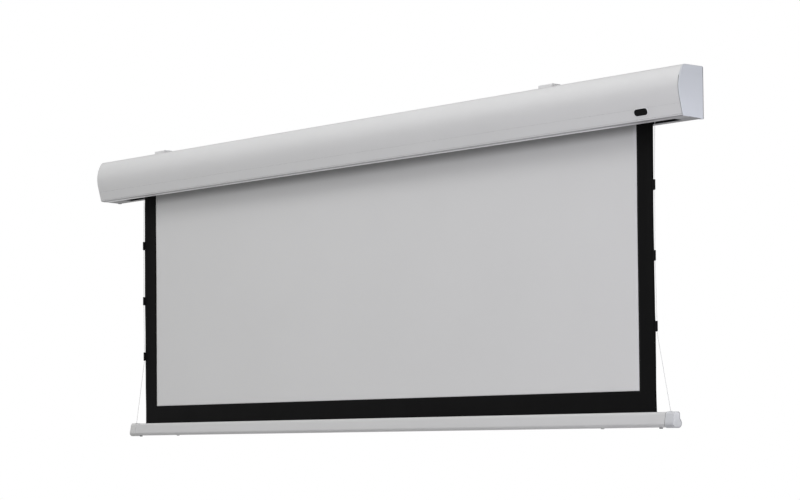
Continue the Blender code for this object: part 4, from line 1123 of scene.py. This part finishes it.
# ------------------------------------------------------------------ cords
def cord_path(side):
    """Points every millimetre or so: from the drum, down through the tabs, out to the
    bar's end and into its cap."""
    top, low = TAB_Z[0] + TAB_H / 2 + 1.0, TAB_Z[2] - TAB_H / 2 - 1.0
    end = CORD_END_X + side * (BAR_X - SCREEN_X)
    at = [CORD_X + v for v in TAB_SHIFT[side]]
    keys = [(CORD_TOP_X, FABRIC_Y, ROLLER_Z), (at[0] + 0.1, CORD_Y + 0.05, top + 3.0),
            (at[0], CORD_Y, top), (at[0], CORD_Y, top - TAB_H - 2.0),
            (at[1], CORD_Y, TAB_Z[1] + 15.0), (at[1], CORD_Y, TAB_Z[1] - 15.0),
            (at[2], CORD_Y, TAB_Z[2] + 15.0), (at[2], CORD_Y, low),
            (at[2] + 0.5, CORD_Y, low - 4.0), (end - 0.5, FABRIC_Y, BAR_TOP_Z + 2.5),
            (end, FABRIC_Y, BAR_TOP_Z - 1.0), (end, FABRIC_Y, BAR_TOP_Z - 31.5)]
    pts = []
    for a, b in zip(keys, keys[1:]):
        n = max(1, int(abs(b[2] - a[2]) / 1.0))
        pts += [[p + (q - p) * k / n for p, q in zip(a, b)] for k in range(n)]
    pts.append(list(keys[-1]))
    arr = np.array(pts)
    kern = np.ones(9) / 9
    for c in (0, 1):
        arr[4:-4, c] = np.convolve(arr[:, c], kern, "valid")
    return [(SCREEN_X + side * float(x), float(y), float(z)) for x, y, z in arr]


def build_cords():
    for side, tag in ((-1, "left"), (1, "right")):
        path = cord_path(side)
        rings = []
        n = 15
        for k, (x, y, z) in enumerate(path):
            a, b = path[max(k - 1, 0)], path[min(k + 1, len(path) - 1)]
            t = Vector((b[0] - a[0], b[1] - a[1], b[2] - a[2])).normalized()
            v = t.cross(Vector((1.0, 0.0, 0.0))).normalized()
            u = v.cross(t)
            ring = []
            for i in range(n):
                ang = 2 * pi * i / n
                # three laid strands
                r = 0.78 - 0.10 * (0.5 - 0.5 * cos(3 * (ang - 2 * pi * z / 9.0)))
                ring.append(tuple(Vector((x, y, z)) + u * r * cos(ang) + v * r * sin(ang)))
            rings.append(ring)
        ob = piece("cord_%s" % tag, rings_mesh("cord_%s" % tag, rings), CORD, "housing",
                   "tension_cord_" + tag, angle=60)
        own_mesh(ob)


# ------------------------------------------------------------------ weight bar
LOBE_Y, LOBE_Z, LOBE_R = -21.6, -849.8, 10.4


BAR_RISE = BAR_TOP_Z + 0.7


def bar_outline(grow=0.0, drop=0.0, wide=0.0, back=0.0, n=22):
    g = grow
    low = BAR_BOT_Z - g - drop
    r, a0 = LOBE_R + g + drop / 2 + wide, radians(50)
    ly, lz = LOBE_Y + back, low + r
    b = g + back
    lobe = (ly + r * cos(a0), lz + r * sin(a0))
    pts = bezier((-37.3 - g, -828.0), (-36.9 - g, -824.0), (-35.0, BAR_RISE + g),
                 (-31.0, BAR_RISE + g), 14)
    split = len(pts)
    pts += bezier((-21.6, BAR_RISE + g), (-19.2 + back, BAR_RISE + g), (-17.4 + b, -822.2),
                  (-17.1 + b, -826.0), 8)
    pts += bezier((-17.1 + b, -826.0), (-16.9 + b, -831.5), (-17.4 + b, -837.5), lobe, 14)[1:]
    for i in range(1, n + 1):
        a = a0 - (a0 + pi / 2) * i / n
        pts.append((ly + r * cos(a), lz + r * sin(a)))
    pts += bezier((-33.0, low), (-38.4, low), (-42.4 - g, -856.6 - drop / 2),
                  (-41.8 - g, -850.5), 16)
    return pts, split


def build_bar():
    body, split = bar_outline()
    ky, kz, kr, sw = FABRIC_Y, BAR_TOP_Z - 11.0, 4.6, 1.7
    channel = [(ky - sw - 0.5, BAR_RISE), (ky - sw, BAR_RISE - 0.5)]
    for i in range(33):
        a = radians(113) + radians(314) * i / 32
        channel.append((ky + kr * cos(a), kz + kr * sin(a)))
    channel += [(ky + sw, BAR_RISE - 0.5), (ky + sw + 0.5, BAR_RISE)]
    section = body[:split] + channel + body[split:]
    hollow = circle(LOBE_Y - 0.6, LOBE_Z, 8.4, 48)
    bar = piece("bar_extrusion", prism_mesh("bar_extrusion", [section, hollow], BAR_X - X_IN + 0.1,
                                            BAR_X + X_IN - 1.15), BARWHITE, "weight_bar",
                "bar_profile", angle=24)
    bar.data.materials.append(INSIDE)
    for f in bar.data.polygons:
        if abs(f.normal.x) > 0.9:
            f.material_index = 1

    full, _ = bar_outline(0.8, 0.9, 0.6, 1.0)
    for side, tag in ((-1, "left"), (1, "right")):
        x0, x1 = BAR_X + side * X_IN, BAR_X + side * BAR_HALF
        r = 1.3
        rows = [[(x0, *p) for p in inset_closed(full, 1.0)],
                [(x0 + side * 0.25, *p) for p in inset_closed(full, 0.9)],
                [(x0 + side * 0.5, *p) for p in full]]
        for k in range(8):
            a = pi / 2 * k / 7
            rows.append([(x1 - side * r * (1 - sin(a)), *p)
                         for p in inset_closed(full, 0.0001 + r * (1 - cos(a)))])
        rows.append([(x1, *p) for p in inset_closed(full, r + 0.1)])
        rows.append([(x1, *p) for p in inset_closed(full, r + 1.9)])
        name = "bar_end_" + tag
        mt = BARCAP if side < 0 else BARCAPR_LIT
        cap = piece(name, rings_mesh(name, rows), mt, "weight_bar",
                    "bar_cap_" + tag, angle=50)
        cap.data.materials.append(INSIDE)
        cap.data.materials.append(BAREND_LIT)
        cap.data.materials.append(BARRIM_SHADE)
        mid = Vector((x1, -28.0, -841.0)) * MM
        # the right cap's inner ring is shaded inside; rim faces towards the back and bottom take a darker
        # painted shade, and the right end face a brighter painted light
        for f in cap.data.polygons:
            out = side * (f.center.x / MM - x1)
            away = Vector((0.0, f.center.y - mid.y, f.center.z - mid.z)).normalized()
            if side > 0 and abs(f.center.x - x0 * MM) < 0.3 * MM:
                f.material_index = 1
            elif out > -1.4 and side * f.normal.x > 0.1 and len(f.vertices) == 4 \
                    and (away.y > 0.30 or away.z < -0.72):
                f.material_index = 3
            elif side > 0 and f.normal.x > 0.6 and out > -2.0:
                f.material_index = 2
        xe = BAR_X + side * CORD_END_X
        cs = [cutter(cyl_mesh("c", (xe, FABRIC_Y, BAR_TOP_Z - 8.0), 2.4, 30.0), "cord_eye")]
        px = sorted((BAR_X + side * (X_IN - 2.0), BAR_X + side * (CORD_END_X + 6.0)))
        cs.append(cutter(box_mesh("c", px, (FABRIC_Y - 5.6, FABRIC_Y + 5.6),
                                  (BAR_TOP_Z - 36.0, BAR_TOP_Z - 5.0)), "spring_pocket"))
        boolean(cap, cs)
        cap.data.shade_smooth()
        cap.data.set_sharp_from_angle(angle=radians(38))
        # moulded collar round the cord's eye
        prof = [(BAR_RISE + 0.2, 2.5), (BAR_RISE + 0.2, 4.2), (BAR_RISE + 1.2, 4.1),
                (BAR_RISE + 2.0, 3.6), (BAR_RISE + 2.2, 3.0), (BAR_RISE + 2.0, 2.5)]
        piece("cord_eye_" + tag, turned_mesh("cord_eye_" + tag, prof, (xe, FABRIC_Y, 0), "Z", 32,
                                             closed=True),
              mt, "weight_bar", angle=50)
        # low moulded boss on the end face, over the lobe; on the right it takes the end face's painted light
        a = x1 - side * 0.25
        prof = [(a - side * 0.5, 3.4), (a, 3.9), (a + side * 0.12, 3.85), (a + side * 0.24, 3.4),
                (a + side * 0.24, 2.3), (a + side * 0.10, 2.0), (a + side * 0.10, 0.8)]
        piece("bar_end_boss_" + tag, turned_mesh("bar_end_boss_" + tag, prof,
                                                 (0, LOBE_Y + 0.4, LOBE_Z + 0.4), "X", 48),
              BARCAP if side < 0 else BAREND_LIT, "weight_bar", angle=40)

    # thumbscrews under the ends, knurled, with a coin slot
    for side, tag in ((-1, "left"), (1, "right")):
        x = BAR_X + side * ADJUSTER_X
        z0, z1 = BAR_BOT_Z - GAP, BAR_BOT_Z - 3.2
        prof = [(z0, 3.6), (z0, 4.3), (z0 - 0.5, 4.95), (z1 + 0.8, 4.95), (z1 + 0.3, 4.6),
                (z1, 4.0), (z1, 2.0)]
        me = turned_mesh("tension_adjuster_" + tag, prof, (x, STUD_Y, 0), "Z", 96,
                         wave=lambda a, k, r: r - (0.22 * (0.5 + 0.5 * cos(32 * a))
                                                   if 1 < k < 5 else 0.0))
        ob = piece("tension_adjuster_" + tag, me, STUD, "adjuster_knob_" + tag,
                   "adjuster_" + tag, angle=40)
        boolean(ob, [cutter(box_mesh("c", (x - 6, x + 6), (STUD_Y - 0.5, STUD_Y + 0.5), (z1 - 1.0, z1 + 0.9)),
                            "coin_slot")])
        ob.data.shade_smooth()
        ob.data.set_sharp_from_angle(angle=radians(40))
        x = BAR_X + side * LOCK_X
        prof = [(BAR_BOT_Z - GAP, 4.4), (BAR_BOT_Z - GAP - 0.2, 5.0), (BAR_BOT_Z - 1.0, 4.9),
                (BAR_BOT_Z - 1.6, 4.3), (BAR_BOT_Z - 1.9, 3.2), (BAR_BOT_Z - 2.0, 1.6)]
        me = turned_mesh("ballast_screw_" + tag, prof, (x, STUD_Y, 0), "Z", 48)
        ob = piece("ballast_screw_" + tag, me, STUD, "weight_bar",
                   "lock_screw_" + tag, angle=40)
        cs = []
        for k in (0, 1):
            p, q = (0.5, 2.6) if k else (2.6, 0.5)
            cs.append(cutter(box_mesh("c", (x - p, x + p), (STUD_Y - q, STUD_Y + q),
                                      (BAR_BOT_Z - 5, BAR_BOT_Z - 1.2)), "cross_%d" % k))
        boolean(ob, cs)
        ob.data.shade_smooth()
        ob.data.set_sharp_from_angle(angle=radians(40))


# ------------------------------------------------------------------ inner pieces
def build_inner():
    """The hidden pieces keep their solids; each gets its own finish."""
    finishes = {
        "end_plate_left": STEEL, "end_plate_right": STEEL, "support_plate_left": STEEL,
        "support_plate_right": STEEL, "motor_head": BLACKP, "motor_body": MOTOR,
        "motor_peg": STEEL, "motor_lead": BLACKP, "idler_pin": STEEL, "receiver_tray": GREYP,
        "receiver_board": PCB, "terminal_block": BLACKP, "cable_gland": BLACKP,
        "roller_tube": TUBE, "wound_fabric": BACKING, "cord_drum_left": BLACKP,
        "cord_drum_right": BLACKP, "limit_ring": GREYP, "drive_wheel": GREYP,
        "idler_plug": GREYP, "idler_bearing": BRONZE, "ballast_rod": STEEL, "hem_rod": STEEL,
        "cord_spring_left": STEEL, "cord_spring_right": STEEL, "cord_ferrule_left": BRONZE,
        "cord_ferrule_right": BRONZE,
    }
    for name, mt in finishes.items():
        ob = NODES[name]
        if not ob.data.materials:
            ob.data.materials.append(mt)
        for k in range(len(ob.material_slots)):
            ob.material_slots[k].material = mt


build_case()
build_end_screws()
build_badge()
build_brackets()
build_fabric()
build_tabs()
build_cords()
build_bar()
build_inner()


# ------------------------------------------------------------------ stage and light
def build_stage():
    floor_z = -2.10
    bm = bmesh.new()
    bmesh.ops.create_grid(bm, x_segments=8, y_segments=8, size=30.0)
    me = bpy.data.meshes.new("floor")
    bm.to_mesh(me)
    bm.free()
    m = bpy.data.materials.new("pale_floor")
    m.use_nodes = True
    nt = m.node_tree
    b = nt.nodes["Principled BSDF"]
    b.inputs["Roughness"].default_value = 0.9
    b.inputs["Specular IOR Level"].default_value = 0.1
    tc = nt.nodes.new("ShaderNodeTexCoord")
    nz = nt.nodes.new("ShaderNodeTexNoise")
    nz.inputs["Scale"].default_value = 1.5
    nt.links.new(tc.outputs["Object"], nz.inputs["Vector"])
    rp = nt.nodes.new("ShaderNodeValToRGB")
    rp.color_ramp.elements[0].color = (0.90, 0.90, 0.895, 1)
    rp.color_ramp.elements[1].color = (0.93, 0.93, 0.925, 1)
    nt.links.new(nz.outputs["Fac"], rp.inputs["Fac"])
    nt.links.new(rp.outputs["Color"], b.inputs["Base Color"])
    # seen from below the floor is clear, so that low views look past it
    geo = nt.nodes.new("ShaderNodeNewGeometry")
    tr = nt.nodes.new("ShaderNodeBsdfTransparent")
    mix = nt.nodes.new("ShaderNodeMixShader")
    nt.links.new(geo.outputs["Backfacing"], mix.inputs[0])
    nt.links.new(b.outputs[0], mix.inputs[1])
    nt.links.new(tr.outputs[0], mix.inputs[2])
    nt.links.new(mix.outputs[0], nt.nodes["Material Output"].inputs["Surface"])
    me.materials.append(m)
    ob = bpy.data.objects.new("floor", me)
    ob.location = (0, 0, floor_z)
    SC.collection.objects.link(ob)

    w = bpy.data.worlds.new("studio")
    SC.world = w
    w.use_nodes = True
    nt = w.node_tree
    nt.nodes.clear()
    out = nt.nodes.new("ShaderNodeOutputWorld")
    seen = nt.nodes.new("ShaderNodeBackground")
    seen.inputs["Color"].default_value = (1.0, 1.0, 1.0, 1)
    seen.inputs["Strength"].default_value = 1.0
    lit = nt.nodes.new("ShaderNodeBackground")
    lit.inputs["Strength"].default_value = 1.0
    tc = nt.nodes.new("ShaderNodeTexCoord")
    total = None
    for (up, round_), color in SKY:
        # a soft patch of light: elevation, and angle from the audience's side to the right
        e, a = radians(up), radians(round_)
        dot = nt.nodes.new("ShaderNodeVectorMath")
        dot.operation = "DOT_PRODUCT"
        nt.links.new(tc.outputs["Generated"], dot.inputs[0])
        dot.inputs[1].default_value = (cos(e) * sin(a), -cos(e) * cos(a), sin(e))
        top = nt.nodes.new("ShaderNodeMath")
        top.operation = "MAXIMUM"
        top.inputs[1].default_value = 0.0
        nt.links.new(dot.outputs["Value"], top.inputs[0])
        power = nt.nodes.new("ShaderNodeMath")
        power.operation = "POWER"
        power.inputs[1].default_value = 12.0
        nt.links.new(top.outputs[0], power.inputs[0])
        tint = nt.nodes.new("ShaderNodeVectorMath")
        tint.operation = "SCALE"
        tint.inputs[0].default_value = color
        nt.links.new(power.outputs[0], tint.inputs["Scale"])
        if total is None:
            total = tint.outputs[0]
        else:
            add = nt.nodes.new("ShaderNodeVectorMath")
            add.operation = "ADD"
            nt.links.new(total, add.inputs[0])
            nt.links.new(tint.outputs[0], add.inputs[1])
            total = add.outputs[0]
    nt.links.new(total, lit.inputs["Color"])
    lp = nt.nodes.new("ShaderNodeLightPath")
    mix = nt.nodes.new("ShaderNodeMixShader")
    nt.links.new(lp.outputs["Is Camera Ray"], mix.inputs[0])
    nt.links.new(lit.outputs[0], mix.inputs[1])
    nt.links.new(seen.outputs[0], mix.inputs[2])
    nt.links.new(mix.outputs[0], out.inputs["Surface"])

    for name, at, look, size, power, color in LIGHTS:
        l = bpy.data.lights.new(name, "AREA")
        l.shape = "RECTANGLE"
        l.size, l.size_y = size
        l.energy = power
        l.color = color
        ob = bpy.data.objects.new(name, l)
        ob.location = at
        ob.rotation_euler = (Vector(look) - Vector(at)).to_track_quat("-Z", "Y").to_euler()
        ob.visible_camera = False
        SC.collection.objects.link(ob)


def grey(v):
    return (v, v, v)


# soft sky: (elevation, angle to the right of straight in front) and strength
SKY = [
    ((0, 110), grey(1.128)), ((35, -45), grey(0.911)), ((55, -60), grey(1.730)),
    ((55, 60), grey(1.756)), ((5, -75), grey(1.153)),
]
# name, place, aim, size, power, colour
LIGHTS = [
    ("near_left", (-1.5, -2.5, 1.6), (0, 0, -0.3), (1.5, 1.0), 8.2, (1.0, 1.0, 1.0)),
    ("front_top", (0.0, -3.0, 2.5), (0, 0, -0.3), (3.0, 1.0), 1.95, (1.0, 1.0, 1.0)),
    ("right_front", (3.5, -2.0, 0.5), (0.5, 0, -0.3), (1.5, 1.5), 18.35, (0.99, 0.99, 1.04)),
    ("right_side", (5.0, -1.0, 0.5), (1.3, 0, -0.2), (2.0, 2.0), 11.2, (1.0, 0.99, 1.01)),
    ("top_near", (0.0, -1.6, 2.2), (0, 0, -0.3), (3.0, 0.8), 20.35, (1.0, 1.0, 1.0)),
    ("right_low", (4.0, -0.5, -1.3), (1.3, 0, -0.3), (1.6, 1.6), 19.75, (0.96, 0.90, 1.16)),
]
build_stage()

SC.view_settings.view_transform = "Standard"
SC.view_settings.look = "None"
SC.view_settings.exposure = 0.0
SC.view_settings.gamma = 1.0
